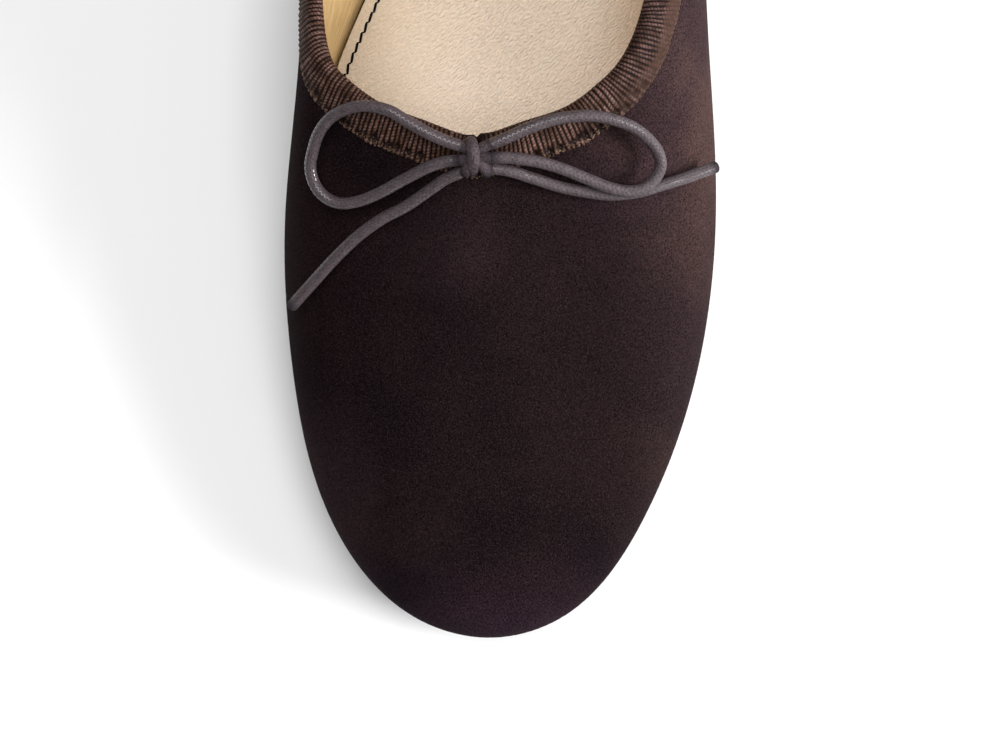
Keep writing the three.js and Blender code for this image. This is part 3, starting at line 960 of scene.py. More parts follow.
@dataclass(frozen=True)
class Ribbon(Finish):
    """Grosgrain: cross ribs of dark brown silk, with painted shade in their valleys and a painted highlight on their
    crowns.
    """

    # painted shade in the rib valleys
    painted_valley_shade: Colour = (0.0075, 0.0024, 0.0018, 1)
    crown: Colour = (0.152, 0.083, 0.066, 1)
    dull: Colour = (0.062, 0.029, 0.017, 1)
    cloud_scales: Pair = (420.0, 2600.0)
    speckle: float = 0.9
    yarn: Pair = (5.0, 9.0)  # the twisted strands' turns across and along, in radians a millimetre
    yarn_height: float = 0.12
    fray_stretch: Triple = (1.0, 0.7, 1.0)
    fray_turn: float = 20.0
    fray_noise: Triple = (3.1, 3.0, 0.65)  # scale, detail and roughness, here and below
    twist_range: Pair = (0.26, 0.74)
    twist_tone: Pair = (0.35, 1.35)
    uneven_scale: float = 1.5
    uneven: float = 0.5
    crown_range: Pair = (0.62, 1.16)
    worn: Colour = (0.100, 0.049, 0.031, 1)
    worn_noise: Triple = (2.4, 4.0, 0.7)
    worn_range: Pair = (0.36, 0.64)
    worn_share: float = 0.6
    lint: Colour = (0.240, 0.170, 0.110, 1)
    lint_across: Pair = (0.2, 2.2)  # millimetres from the selvedge
    lint_share: Pair = (0.7, 0.0)
    lint_scale: float = 2.7
    lint_range: Pair = (0.54, 0.66)
    lint_worn: Pair = (0.0, 0.4)
    lint_worn_share: Pair = (1.0, 0.25)
    # painted shade: the outer side is darkened to tone down the light that falls on it
    outer_painted_lighting: Colour = (0.70, 0.70, 0.76, 1)
    outer_across: Pair = (0.018, 0.027)

    def surface(self, shader: Shader) -> dict[str, Socket]:
        """The rib's own height sets its colour, as painted shade in the valleys and a painted highlight on the
        crowns; twisted yarn breaks it up, and lint clings to the selvedge.
        """
        rib, worn = shader.kept("rib_height"), shader.kept("worn")
        pattern, place = shader.pattern(), shader.place()
        patch = shader.mottled(place, self.cloud_scales, self.speckle, self.dull, self.crown)
        yarn = shader.group(Yarn, {"Vector": pattern, "Across": self.yarn[0], "Along": self.yarn[1]})
        fray = shader.noise(shader.stretched(pattern, self.fray_stretch, self.fray_turn), *self.fray_noise)
        ply = shader.plus(shader.times(yarn.outputs["Twist"], self.yarn_height), fray)
        tone = shader.grey(shader.between(ply, self.twist_range, self.twist_tone))
        crown = shader.tinted(patch.outputs["Color"], tone)
        uneven = shader.times(shader.noise(pattern, self.uneven_scale), self.uneven)
        # painted shade in the valleys and painted highlight on the crowns, by the rib's height
        ribbed = shader.blend(shader.between(shader.plus(rib, uneven), self.crown_range), self.painted_valley_shade, crown)
        rubbed_share = shader.between(shader.noise(pattern, *self.worn_noise), self.worn_range)
        rubbed = shader.blend(rubbed_share, self.dull, self.worn)
        cloth = shader.blend(shader.times(worn, self.worn_share), ribbed, rubbed)
        edge = shader.between(shader.parts(pattern)[1], self.lint_across, self.lint_share)
        bits = shader.between(shader.noise(pattern, self.lint_scale), self.lint_range)
        bits = shader.times(bits, shader.times(edge, shader.between(worn, self.lint_worn, self.lint_worn_share)))
        # painted shade on the outer side
        shade = shader.blend(shader.between(shader.parts(place)[0], self.outer_across), EVEN, self.outer_painted_lighting)
        return {"Base Color": shader.blend(bits, shader.tinted(cloth, shade), self.lint), "Height": ply}


@dataclass(frozen=True)
class Leather(Finish):
    """Smooth or pebbled leather in two near tones."""

    dark: Colour = (0.5, 0.4, 0.3, 1)
    light: Colour = (0.6, 0.5, 0.4, 1)
    grain_scale: float = 1000.0
    grain_stretch: Triple = (1.0, 1.0, 1.0)
    grain_turn: float = 0.0
    patch_scale: float = 30.0
    speckle: float = 0.08
    pore_range: Pair = (0.3, 0.7)
    pore_gloss: Pair = (0.06, 0.08)  # how much smoother and rougher than the finish

    def surface(self, shader: Shader) -> dict[str, Socket]:
        """Pebbles, pores and soft patches."""
        drawn = shader.stretched(shader.place(), self.grain_stretch, self.grain_turn)
        grain = shader.group(Grain, {"Vector": drawn, "Scale": self.grain_scale})
        scales = (self.patch_scale, self.grain_scale)
        tone = shader.mottled(drawn, scales, self.speckle, self.dark, self.light)
        gloss = (self.roughness - self.pore_gloss[0], self.roughness + self.pore_gloss[1])
        rough = shader.between(grain.outputs["Pores"], self.pore_range, gloss)
        return {"Base Color": tone.outputs["Color"], "Height": grain.outputs["Height"], "Roughness": rough}


@dataclass(frozen=True)
class Sock(Leather):
    """The insole's pebbled cream leather, darker and warmer towards its edges: partly dirt, partly painted shade
    where the walls shade it.
    """

    # dirt and painted shade towards the inner edge
    inner_edge_dirt_and_shade: Colour = (0.73, 0.71, 0.66, 1)
    inner_across: Pair = (-0.029, -0.006)
    # dirt and painted shade towards the outer edge
    outer_edge_dirt_and_shade: Colour = (0.87, 0.77, 0.68, 1)
    outer_across: Pair = (0.018, 0.033)
    pebble_range: Pair = (0.7, 1.15)
    # painted light and shade: pebble crests lighter, hollows darker
    pebble_painted_light: Pair = (0.86, 1.04)
    pressed_across: Pair = (-0.028, 0.004)
    pressed_height: Pair = (0.35, 1.0)

    def surface(self, shader: Shader) -> dict[str, Socket]:
        """The leather, with dirt and painted shade across the shoe, and painted light on its pebbles."""
        made = Leather.surface(self, shader)
        across = shader.parts(shader.place())[0]
        inner = shader.blend(shader.between(across, self.inner_across), self.inner_edge_dirt_and_shade, EVEN)
        shade = shader.blend(shader.between(across, self.outer_across), inner, self.outer_edge_dirt_and_shade)
        # painted light on the pebbles' crests
        tone = shader.grey(shader.between(made["Height"], self.pebble_range, self.pebble_painted_light))
        colour = shader.tinted(shader.tinted(made["Base Color"], shade), tone)
        pressed = shader.times(made["Height"], shader.between(across, self.pressed_across, self.pressed_height))
        return {**made, "Base Color": colour, "Height": pressed}


@dataclass(frozen=True)
class GoldLining(Finish):
    """Pale gold lining leather, streaked along the shoe."""

    dark: Colour = (0.70, 0.495, 0.225, 1)
    light: Colour = (0.97, 0.74, 0.40, 1)
    streak_stretch: Triple = (0.11, 1.5, 1.0)
    streak_noise: Triple = (1.0, 3.0, 0.6)  # scale, detail and roughness
    fine_stretch: Triple = (0.5, 4.2, 1.0)
    weights: Pair = (0.7, 0.3)  # of the streaks and of the fine lines
    tone_range: Pair = (0.32, 0.68)

    def surface(self, shader: Shader) -> dict[str, Socket]:
        """Streaks run round the wall, on the piece's own pattern places."""
        pattern = shader.pattern()
        streak = shader.noise(shader.stretched(pattern, self.streak_stretch), *self.streak_noise)
        fine = shader.noise(shader.stretched(pattern, self.fine_stretch), 1.0)
        total = shader.plus(shader.times(streak, self.weights[0]), shader.times(fine, self.weights[1]))
        colour = shader.blend(shader.between(total, self.tone_range), self.dark, self.light)
        return {"Base Color": colour, "Height": total}


@dataclass(frozen=True)
class WaxedCord(Finish):
    """Grey-brown braided cord, waxed: the wax glints on some of its crowns."""

    dark: Colour = (0.029, 0.021, 0.026, 1)
    light: Colour = (0.086, 0.063, 0.069, 1)
    burnt: Colour = (0.020, 0.014, 0.019, 1)
    braid: Pair = (5.0, 6.6)  # the strands' turns across and along, in radians a millimetre
    braid_tone_range: Pair = (-0.2, 0.9)
    # painted shade in the braid's grooves, lighter on its crowns
    braid_painted_shade: Pair = (0.90, 1.04)
    braid_height: float = 0.45
    streak_stretch: Triple = (3.4, 0.42, 1.0)
    streak_turn: float = 14.0
    streak_noise: Triple = (1.6, 3.0, 0.6)  # scale, detail and roughness
    streak_height: float = 2.8
    fine_stretch: Triple = (4.0, 2.2, 1.0)
    fine_turn: float = 30.0
    fine_scale: float = 2.2
    weights: Pair = (0.7, 0.3)  # of the streaks and of the fine lines
    tone_range: Pair = (0.38, 0.62)
    rough_range: Pair = (0.35, 0.65)
    rough: Pair = (0.42, 0.56)
    cut_rough: float = 0.35
    wax: float = 1.0
    wax_crowns: Pair = (0.62, 0.98)
    wax_stretch: Triple = (0.6, 0.16, 1.0)
    wax_range: Pair = (0.41, 0.58)
    wax_across: Pair = (0.004, 0.022)
    wax_across_share: Pair = (1.0, 0.3)
    glossy: tuple[Patch, ...] = (
        Patch((-0.0362, -0.0290), (0.006, 0.011), 1.6, 0.0),
        Patch((-0.0205, -0.0390), (0.012, 0.006), 1.6, 0.0),
    )  # where the wax is thickest

    def surface(self, shader: Shader) -> dict[str, Socket]:
        """Streaks along the cord and a fine braid, on its own pattern places."""
        pattern, cut = shader.pattern(), shader.kept("cut_end")
        strands = {"Vector": pattern, "Across": self.braid[0], "Along": self.braid[1]}
        braid = shader.group(Yarn, strands).outputs["Height"]
        streak = shader.noise(shader.stretched(pattern, self.streak_stretch, self.streak_turn), *self.streak_noise)
        fine = shader.noise(shader.stretched(pattern, self.fine_stretch, self.fine_turn), self.fine_scale)
        total = shader.plus(shader.times(streak, self.weights[0]), shader.times(fine, self.weights[1]))
        body = shader.blend(shader.between(total, self.tone_range), self.dark, self.light)
        # painted shade in the braid's grooves
        tone = shader.grey(shader.between(braid, self.braid_tone_range, self.braid_painted_shade))
        height = shader.plus(shader.times(braid, self.braid_height), shader.times(total, self.streak_height))
        crowns = shader.times(shader.between(braid, self.wax_crowns), self.wax)
        rubbed = shader.between(shader.noise(shader.stretched(pattern, self.wax_stretch), 1.0, 1.0), self.wax_range)
        across, along, _ = shader.parts(shader.place())
        waxed = shader.times(rubbed, shader.between(across, self.wax_across, self.wax_across_share))
        for patch in self.glossy:
            waxed = shader.math("MAXIMUM", waxed, shader.spot(across, along, patch))
        whole = shader.math("SUBTRACT", 1.0, cut, clamp=True)
        rough = shader.between(total, self.rough_range, self.rough)
        return {
            "Base Color": shader.blend(cut, shader.tinted(body, tone), self.burnt),
            "Height": height,
            "Roughness": shader.plus(rough, shader.times(cut, self.cut_rough)),
            "Coat Weight": shader.times(crowns, shader.times(waxed, whole)),
        }


@dataclass(frozen=True)
class Thread(Finish):
    """Plain sewing thread."""

    colour: Colour = (0.0035, 0.0025, 0.0028, 1)
    lighter: float = 1.6
    scales: Pair = (900.0, 4000.0)
    speckle: float = 0.5

    def surface(self, shader: Shader) -> dict[str, Socket]:
        """A fine twist."""
        light = tuple(min(1.0, self.lighter * c) for c in self.colour[:3]) + (1,)
        tone = shader.mottled(shader.place(), self.scales, self.speckle, self.colour, light)
        return {"Base Color": tone.outputs["Color"], "Height": tone.outputs["Speckle"]}


@dataclass(frozen=True)
class Paper(Finish):
    """The white floor."""

    colour: Colour = (0.93, 0.93, 0.93, 1)
    scales: Pair = (2.0, 60.0)
    speckle: float = 0.004

    def surface(self, shader: Shader) -> dict[str, Socket]:
        """Nearly even white."""
        tone = shader.mottled(shader.place(), self.scales, self.speckle, self.colour, self.colour)
        return {"Base Color": tone.outputs["Color"]}


SUEDE = Suede(
    "brushed_suede", roughness=0.95, specular=0.02, sheen=0.015, sheen_roughness=0.4, sheen_tint=(0.9, 0.68, 0.68, 1),
    bump=0.9, bump_depth=0.0003,
)
RIBBON = Ribbon("grosgrain", roughness=0.65, specular=0.09, bump=0.7, bump_depth=0.00012)
SOCK = Sock(
    "insole_leather", roughness=0.34, specular=0.5, coat=0.05, coat_roughness=0.3, bump=1.0, bump_depth=0.00046,
    dark=(0.90, 0.765, 0.63, 1), light=(0.985, 0.85, 0.72, 1),
    grain_scale=2800.0, grain_stretch=(1.15, 0.5, 1.0), grain_turn=42.0,
)
LINING = GoldLining("gold_lining", roughness=0.42, metallic=0.25, bump=0.4, bump_depth=0.0001)
SOLE_EDGE = Leather(
    "burnished_sole", roughness=0.5, specular=0.3, bump=0.3, bump_depth=0.00008,
    dark=(0.030, 0.018, 0.014, 1), light=(0.052, 0.032, 0.023, 1), grain_scale=1800.0, grain_stretch=(1.0, 1.0, 3.0),
)
HEEL_STACK = Leather(
    "heel_leather", roughness=0.48, specular=0.35, bump=0.4, bump_depth=0.0001,
    dark=(0.030, 0.019, 0.015, 1), light=(0.055, 0.034, 0.026, 1), grain_scale=900.0, grain_stretch=(0.25, 0.25, 3.0),
)
RUBBER = Leather(
    "heel_rubber", roughness=0.7, bump=0.3, bump_depth=0.00008,
    dark=(0.011, 0.010, 0.010, 1), light=(0.018, 0.016, 0.016, 1), grain_scale=2500.0,
)
CORD = WaxedCord("waxed_cord", specular=0.3, coat_roughness=0.11, bump=0.7, bump_depth=0.00009)
KNOTTED_CORD = WaxedCord(
    "knotted_cord", specular=0.15, coat_roughness=0.2, bump=0.9, bump_depth=0.00014, wax=0.15
)
STITCH = Thread("dark_thread", roughness=0.8, specular=0.1, bump=0.4, bump_depth=0.00005)
FLOOR = Paper("white_floor", roughness=0.9, specular=0.1)


# Camera, lights and floor


@dataclass
class Studio:
    """The camera straight above the shoe, a white floor and soft light from the shoe's outer side."""

    camera_height: float = 1.05
    camera_y: float = -0.0707
    lens: float = 191.14
    sensor: float = 36.0
    near: float = 0.02
    key_light: tuple[Triple, float, float] = ((1.85, -0.25, 0.85), 1.0, 70.0)  # place, size and watts
    top_light: tuple[Triple, float, float] = ((0.0, 0.35, 2.2), 1.6, 44.0)
    world: float = 0.2
    floor_size: float = 8.0

    def camera(self) -> None:
        """Adds the camera."""
        start_fresh()
        bpy.ops.object.camera_add(location=(0, self.camera_y, self.camera_height), rotation=(0, 0, 0))
        camera = bpy.context.object
        camera.data.lens = self.lens
        camera.data.sensor_width = self.sensor
        camera.data.sensor_fit = "HORIZONTAL"
        camera.data.clip_start = self.near
        bpy.context.scene.camera = camera

    def light(self, name: str, place: Triple, size: float, power: float) -> None:
        """Adds a square light that faces the shoe.

        Args:
            name: The light's name.
            place: Where it hangs.
            size: Its side.
            power: Its watts.
        """
        start_fresh()
        bpy.ops.object.light_add(type="AREA", location=place)
        light = bpy.context.object
        light.name = name
        light.data.shape = "SQUARE"
        light.data.size = size
        light.data.energy = power
        aim = -light.location.normalized()
        light.rotation_euler = aim.to_track_quat("-Z", "Y").to_euler()

    def build(self) -> None:
        """Adds the lights, the world and the floor."""
        bpy.context.scene.view_settings.view_transform = "Standard"
        self.light("key_light", *self.key_light)
        self.light("top_light", *self.top_light)
        world = bpy.data.worlds.new("studio")
        bpy.context.scene.world = world
        world.use_nodes = True
        back = next(n for n in world.node_tree.nodes if n.type == "BACKGROUND")
        back.inputs["Color"].default_value = EVEN
        back.inputs["Strength"].default_value = self.world
        start_fresh()
        bpy.ops.mesh.primitive_plane_add(size=self.floor_size)
        floor = bpy.context.object
        floor.name = "floor"
        floor.data.materials.append(FLOOR.material())


# The bow


BRAID_STRANDS = 6  # round the cord
BRAID_TURN = 9.0  # radians a millimetre
BRAID_MIDDLE = 0.6
END_TAPER = 0.12  # share of the radius
END_REACH = 0.35  # millimetres
CUT_REACH = 1.1  # radii
PATTERN_RADIUS = 1.2  # millimetres


def tube(name: str, line: np.ndarray, radius: float, sides: int, braid: float = 0.0) -> bpy.types.Object:
    """A round cord along a line.

    Args:
        name: The piece's name.
        line: The line's points, in millimetres.
        radius: The cord's radius.
        sides: Points round it.
        braid: How far the braid's strands stand out, as a share of the radius.

    Returns:
        The cord, with closed ends.
    """
    tangent = unit(np.gradient(line, axis=0))
    across = np.zeros_like(line)
    side = np.cross(tangent[0], (0.0, 0.0, 1.0))
    for i, direction in enumerate(tangent):
        side = side - direction * float(side @ direction)
        side = side / np.linalg.norm(side)
        across[i] = side
    upward = np.cross(tangent, across)
    angle = np.linspace(0, 2 * np.pi, sides + 1)
    length = run_lengths(line)
    turn, twist = BRAID_STRANDS * angle[None, :], BRAID_TURN * length[:, None]
    strand = np.maximum(np.sin(turn + twist), np.sin(turn - twist))
    reach = radius * (1 + braid * (strand - BRAID_MIDDLE))
    ends = np.minimum(length, length[-1] - length)
    reach = reach * (1 - END_TAPER * np.clip(1 - ends / END_REACH, 0, 1) ** 2)[:, None]
    ring = across[:, None, :] * np.cos(angle)[None, :, None] + upward[:, None, :] * np.sin(angle)[None, :, None]
    places = line[:, None, :] + ring * reach[..., None]
    places[:, -1] = places[:, 0]
    uv = np.stack(np.broadcast_arrays(angle[None, :] * PATTERN_RADIUS, length[:, None]), axis=-1)
    cord = laid_grid(name, places, uv, caps=True)
    gap = np.linalg.norm(vertex_places(cord.data) / MM - line[-1], axis=1)
    note_heights(cord, "cut_end", np.clip(2.0 - gap / radius / CUT_REACH, 0, 1))
    return cord


@dataclass
class CordRun:
    """One free length of the draw cord."""

    name: str
    points: tuple[Triple, ...]
    length: float  # metres
    far_end: str


@dataclass
class Bow:
    """The bow of the waxed draw cord: two loops, two bare ends and the knot between them."""

    cord_diameter: float = 2.3
    wrap_diameter: float = 2.45
    strand_diameter: float = 2.12
    sides: int = 24
    step: float = 0.16
    braid: float = 0.006
    path_every: int = 4  # points of the line to one of a coarser path
    runs: tuple[CordRun, ...] = (
        CordRun(
            "bow_loop_inner",
            (
                (-7.4, -28.9, 55.1), (-9.6, -28.2, 55.3), (-13.1, -26.7, 55.5), (-17.1, -24.5, 55.4),
                (-20.8, -22.3, 55), (-25.4, -21.3, 53.7), (-28.7, -21.8, 52.3), (-31.8, -23.3, 50.2),
                (-34.1, -26, 47.9), (-35.4, -29.5, 45.8), (-35.9, -32.5, 44.6), (-35.1, -35.7, 43.9),
                (-33, -38.2, 43.8), (-30.3, -39.3, 44.3), (-26.6, -38.9, 45.6), (-22.7, -37.4, 47.6),
                (-17.9, -34.9, 50.1), (-13.1, -32.6, 52.4), (-9.9, -31.7, 53.3), (-7.4, -31.5, 53.5),
            ),
            0.0755,
            "knot",
        ),
        CordRun(
            "bow_loop_outer",
            (
                (-1.8, -28.6, 55.1), (0.6, -27.7, 55.4), (5.1, -25.7, 55.6), (9.7, -24.1, 55.4),
                (13.5, -23.4, 54.8), (17.5, -23.2, 53.7), (21.5, -23.9, 51.9), (25.3, -25.3, 49.7),
                (28.2, -27.5, 47.5), (30, -30, 45.8), (30.4, -32.4, 44.9), (29.2, -34.8, 44.7),
                (26.9, -36.6, 45.3), (24.1, -37.1, 46.2), (20.8, -36.5, 47.6), (16, -34.7, 49.6),
                (11.3, -32.9, 51.7), (6.6, -31.7, 53.5), (1.9, -31.1, 54.7), (-1.8, -31.1, 55),
            ),
            0.0771,
            "knot",
        ),
        CordRun(
            "bow_end_inner",
            (
                (-7.3, -33.7, 51.9), (-10.2, -34.9, 50.7), (-13.2, -36.9, 48.9), (-17.9, -40, 46.6),
                (-22.4, -42.3, 44.7), (-26.7, -45.3, 42.6), (-30.8, -49, 40.1), (-35.7, -54.2, 36.7),
                (-40, -58.8, 33.3),
            ),
            0.0457,
            "bare",
        ),
        CordRun(
            "bow_end_outer",
            (
                (-1.7, -32.9, 52.4), (1.9, -33.5, 51.7), (6.6, -34.9, 49.6), (11.3, -36.3, 47.6),
                (16.1, -37.2, 46), (20.8, -37.7, 44.4), (26.3, -37.1, 42.3), (31.2, -35.6, 40),
                (35, -34.4, 37.9), (38.2, -33.2, 35.8), (41.4, -32, 33.7),
            ),
            0.0486,
            "bare",
        ),
    )
    wrap: tuple[Triple, ...] = (
        (-5.5, -28.1, 52.8), (-5.4, -28.3, 54.6), (-5.25, -29.0, 55.8), (-5.0, -30.0, 56.2),
        (-4.95, -31.1, 56.05), (-5.0, -32.2, 55.2), (-5.1, -33.0, 53.9), (-5.1, -33.3, 52.3),
    )
    strands: tuple[tuple[Triple, ...], ...] = (
        (
            (-8.5, -28.56, 55.2), (-7.4, -28.9, 55.1), (-5.9, -29.4, 54.8), (-4.6, -29.7, 54.6),
            (-3.2, -29.2, 54.9), (-1.8, -28.6, 55.1), (-0.7, -28.2, 55.22),
        ),
        (
            (-8.6, -31.62, 53.4), (-7.4, -31.5, 53.5), (-5.9, -31.3, 53.9), (-4.6, -31.1, 54.3),
            (-3.2, -31.05, 54.7), (-1.8, -31.1, 55.0), (-0.6, -31.1, 54.93),
        ),
        (
            (-8.4, -34.15, 51.45), (-7.3, -33.7, 51.9), (-6.0, -33.1, 52.4), (-4.6, -32.6, 52.9),
            (-3.0, -32.65, 52.8), (-1.7, -32.9, 52.4), (-0.5, -33.08, 52.2),
        ),
        ((-4.3, -31.5, 54.7), (-3.4, -32.5, 54.3), (-2.7, -33.4, 53.5), (-2.3, -34.0, 52.5)),
        ((-5.4, -31.6, 54.9), (-5.9, -32.6, 54.3), (-6.3, -33.4, 53.5), (-6.4, -33.9, 52.5)),
    )

    def length(self, name: str, line: np.ndarray, diameter: float) -> bpy.types.Object:
        """One length of the braided cord along a line."""
        return tube(name, line, diameter / 2, self.sides, self.braid)

    def build(self) -> None:
        """Makes the knot and the free lengths."""
        knots = [self.length("wrap", through(self.wrap, self.step), self.wrap_diameter)]
        for k, points in enumerate(self.strands):
            knots.append(self.length(f"strand_{k}", through(points, self.step), self.strand_diameter))
        knot = mount(joined("bow_knot_wrap", knots), KNOTTED_CORD, Slot.CORD, "bow_knot")
        for run in self.runs:
            line = through(run.points, self.step)
            cord = mount(self.length(run.name + "_cord", line, self.cord_diameter), CORD, Slot.CORD, run.name)


# The shoe


@dataclass(frozen=True)
class Crease:
    """A soft trough or ridge in the suede, from one plan point to another."""

    start: Pair
    end: Pair
    width: float
    height: float
    fade: float = 0.08  # share of the crease at which each of its ends starts

    def over(self, places: np.ndarray) -> np.ndarray:
        """The crease's relief.

        Args:
            places: Points on the suede.

        Returns:
            How far each is lifted.
        """
        a, b = np.array(self.start), np.array(self.end)
        run = b - a
        share = np.clip((places[..., :2] - a) @ run / float(run @ run), 0, 1)
        gap = np.linalg.norm(places[..., :2] - a - share[..., None] * run, axis=-1)
        along = self.fade + (1 - 2 * self.fade) * share
        return self.height * np.exp(-((gap / self.width) ** 2)) * np.sin(np.pi * along)


@dataclass
class Upper:
    """The suede upper in one piece from the toe to the back seam, with its gold lining."""

    last: Last
    columns: int = 380
    seam_reach: float = 5.0
    seam_columns: int = 40
    tuck_rows: int = 9
    rise_rows: int = 46
    suede_thickness: float = 1.15
    lining_thickness: float = 0.35
    lining_overlap: float = 0.05
    lining_span: Pair = (-0.94, 0.97)  # up the wall, from the widest line down and up
    lining_rows: tuple[int, int] = (8, 30)
    pattern_height: float = 45.0
    seam_ridge: Triple = (0.14, 1.6, 0.9)  # height, place and width
    seam_groove: Pair = (0.32, 0.42)  # depth and width
    pucker: float = 0.13
    pucker_length: float = 7.5
    pucker_seed: int = 3
    pucker_below: Pair = (7.5, 3.2)  # under the collar, and the width there
    pucker_front: Pair = (-22.0, 38.0)  # along the shoe, and the width there
    crease_rise: float = 4.0
    creases: tuple[Crease, ...] = (
        Crease((-30, -34), (-17, -52), 5.0, -0.35),
        Crease((21, -35), (14, -54), 5.5, -0.3),
        Crease((-6, -41), (-9, -62), 7.0, 0.25),
        Crease((-38, -50), (-20, -58), 4.5, 0.2),
        Crease((38, -47), (18, -60), 5.0, 0.2),
        Crease((-26, -72), (24, -70), 7.0, -0.25),
        Crease((34, 18), (30, -6), 6.0, -0.25),
    )

    def ring_places(self) -> np.ndarray:
        """Places round the shoe, close together at the back seam."""
        near = np.linspace(0, self.seam_reach, self.seam_columns, endpoint=False)
        far = np.linspace(self.seam_reach, self.last.ring - self.seam_reach, self.columns)
        return np.concatenate([near, far, self.last.ring - near[::-1]])

    def relief(self, s: np.ndarray, t: np.ndarray, places: np.ndarray) -> np.ndarray:
        """The suede's own shape over the last: the back seam, the puckers under the ribbon and the creases.

        Args:
            s: Places round the shoe.
            t: Places up the wall.
            places: The last's points there.

        Returns:
            How far the suede stands out at each.
        """
        from_seam = np.minimum(s, self.last.ring - s)
        ridge, place, width = self.seam_ridge
        groove, groove_width = self.seam_groove
        seam = ridge * np.exp(-(((from_seam - place) / width) ** 2))
        seam = seam - groove * np.exp(-((from_seam / groove_width) ** 2))
        run = np.linalg.norm(np.diff(places, axis=0), axis=2)
        below = np.concatenate([np.cumsum(run[::-1], axis=0)[::-1], np.zeros((1, run.shape[1]))])
        bands = ((below, self.pucker_below), (places[..., 1], self.pucker_front))
        under, ahead = (np.exp(-(((at - middle) / width) ** 2)) for at, (middle, width) in bands)
        soft = self.pucker * (under * ahead) * waves(s, self.pucker_length, self.pucker_seed)
        creases = sum(crease.over(places) for crease in self.creases) * (t > 0)
        return seam * np.clip(t + 1, 0, 1) + soft + creases * np.clip(t * self.crease_rise, 0, 1)

    def build(self) -> None:
        """Lays the suede and the lining over the last."""
        s = self.ring_places()
        t = np.concatenate([np.linspace(-1, 0, self.tuck_rows), np.linspace(0, 1, self.rise_rows)[1:]])
        round_s, up_t = np.meshgrid(s, t)
        skin = self.last.point(round_s, up_t)
        out = self.last.normal(round_s, up_t)
        places = skin + out * self.relief(round_s, up_t, skin)[..., None]
        uv = np.stack([round_s, up_t * self.pattern_height], axis=-1)
        suede = laid_grid("upper_suede", places, uv, flip=True)
        finish_with(suede, "SOLIDIFY", thickness=self.suede_thickness * MM, offset=-1.0)
        mount(suede, SUEDE, Slot.SUEDE, "upper")
        s = s[::2]
        s = np.append(s[:-1], self.last.ring) if s[-1] != self.last.ring else s
        (low, high), (under, over) = self.lining_span, self.lining_rows
        t = np.concatenate([np.linspace(low, 0, under), np.linspace(0, high, over)[1:]])
        round_s, up_t = np.meshgrid(s, t)
        total = self.suede_thickness + self.lining_thickness
        places = self.last.offset(round_s, up_t, np.full(round_s.shape, -total))
        uv = np.stack([round_s, up_t * self.pattern_height], axis=-1)
        lining = laid_grid("quarter_lining", places, uv, flip=False)
        thickness = self.lining_thickness + self.lining_overlap
        finish_with(lining, "SOLIDIFY", thickness=thickness * MM, offset=-1.0)
        mount(lining, LINING, Slot.SOCK)


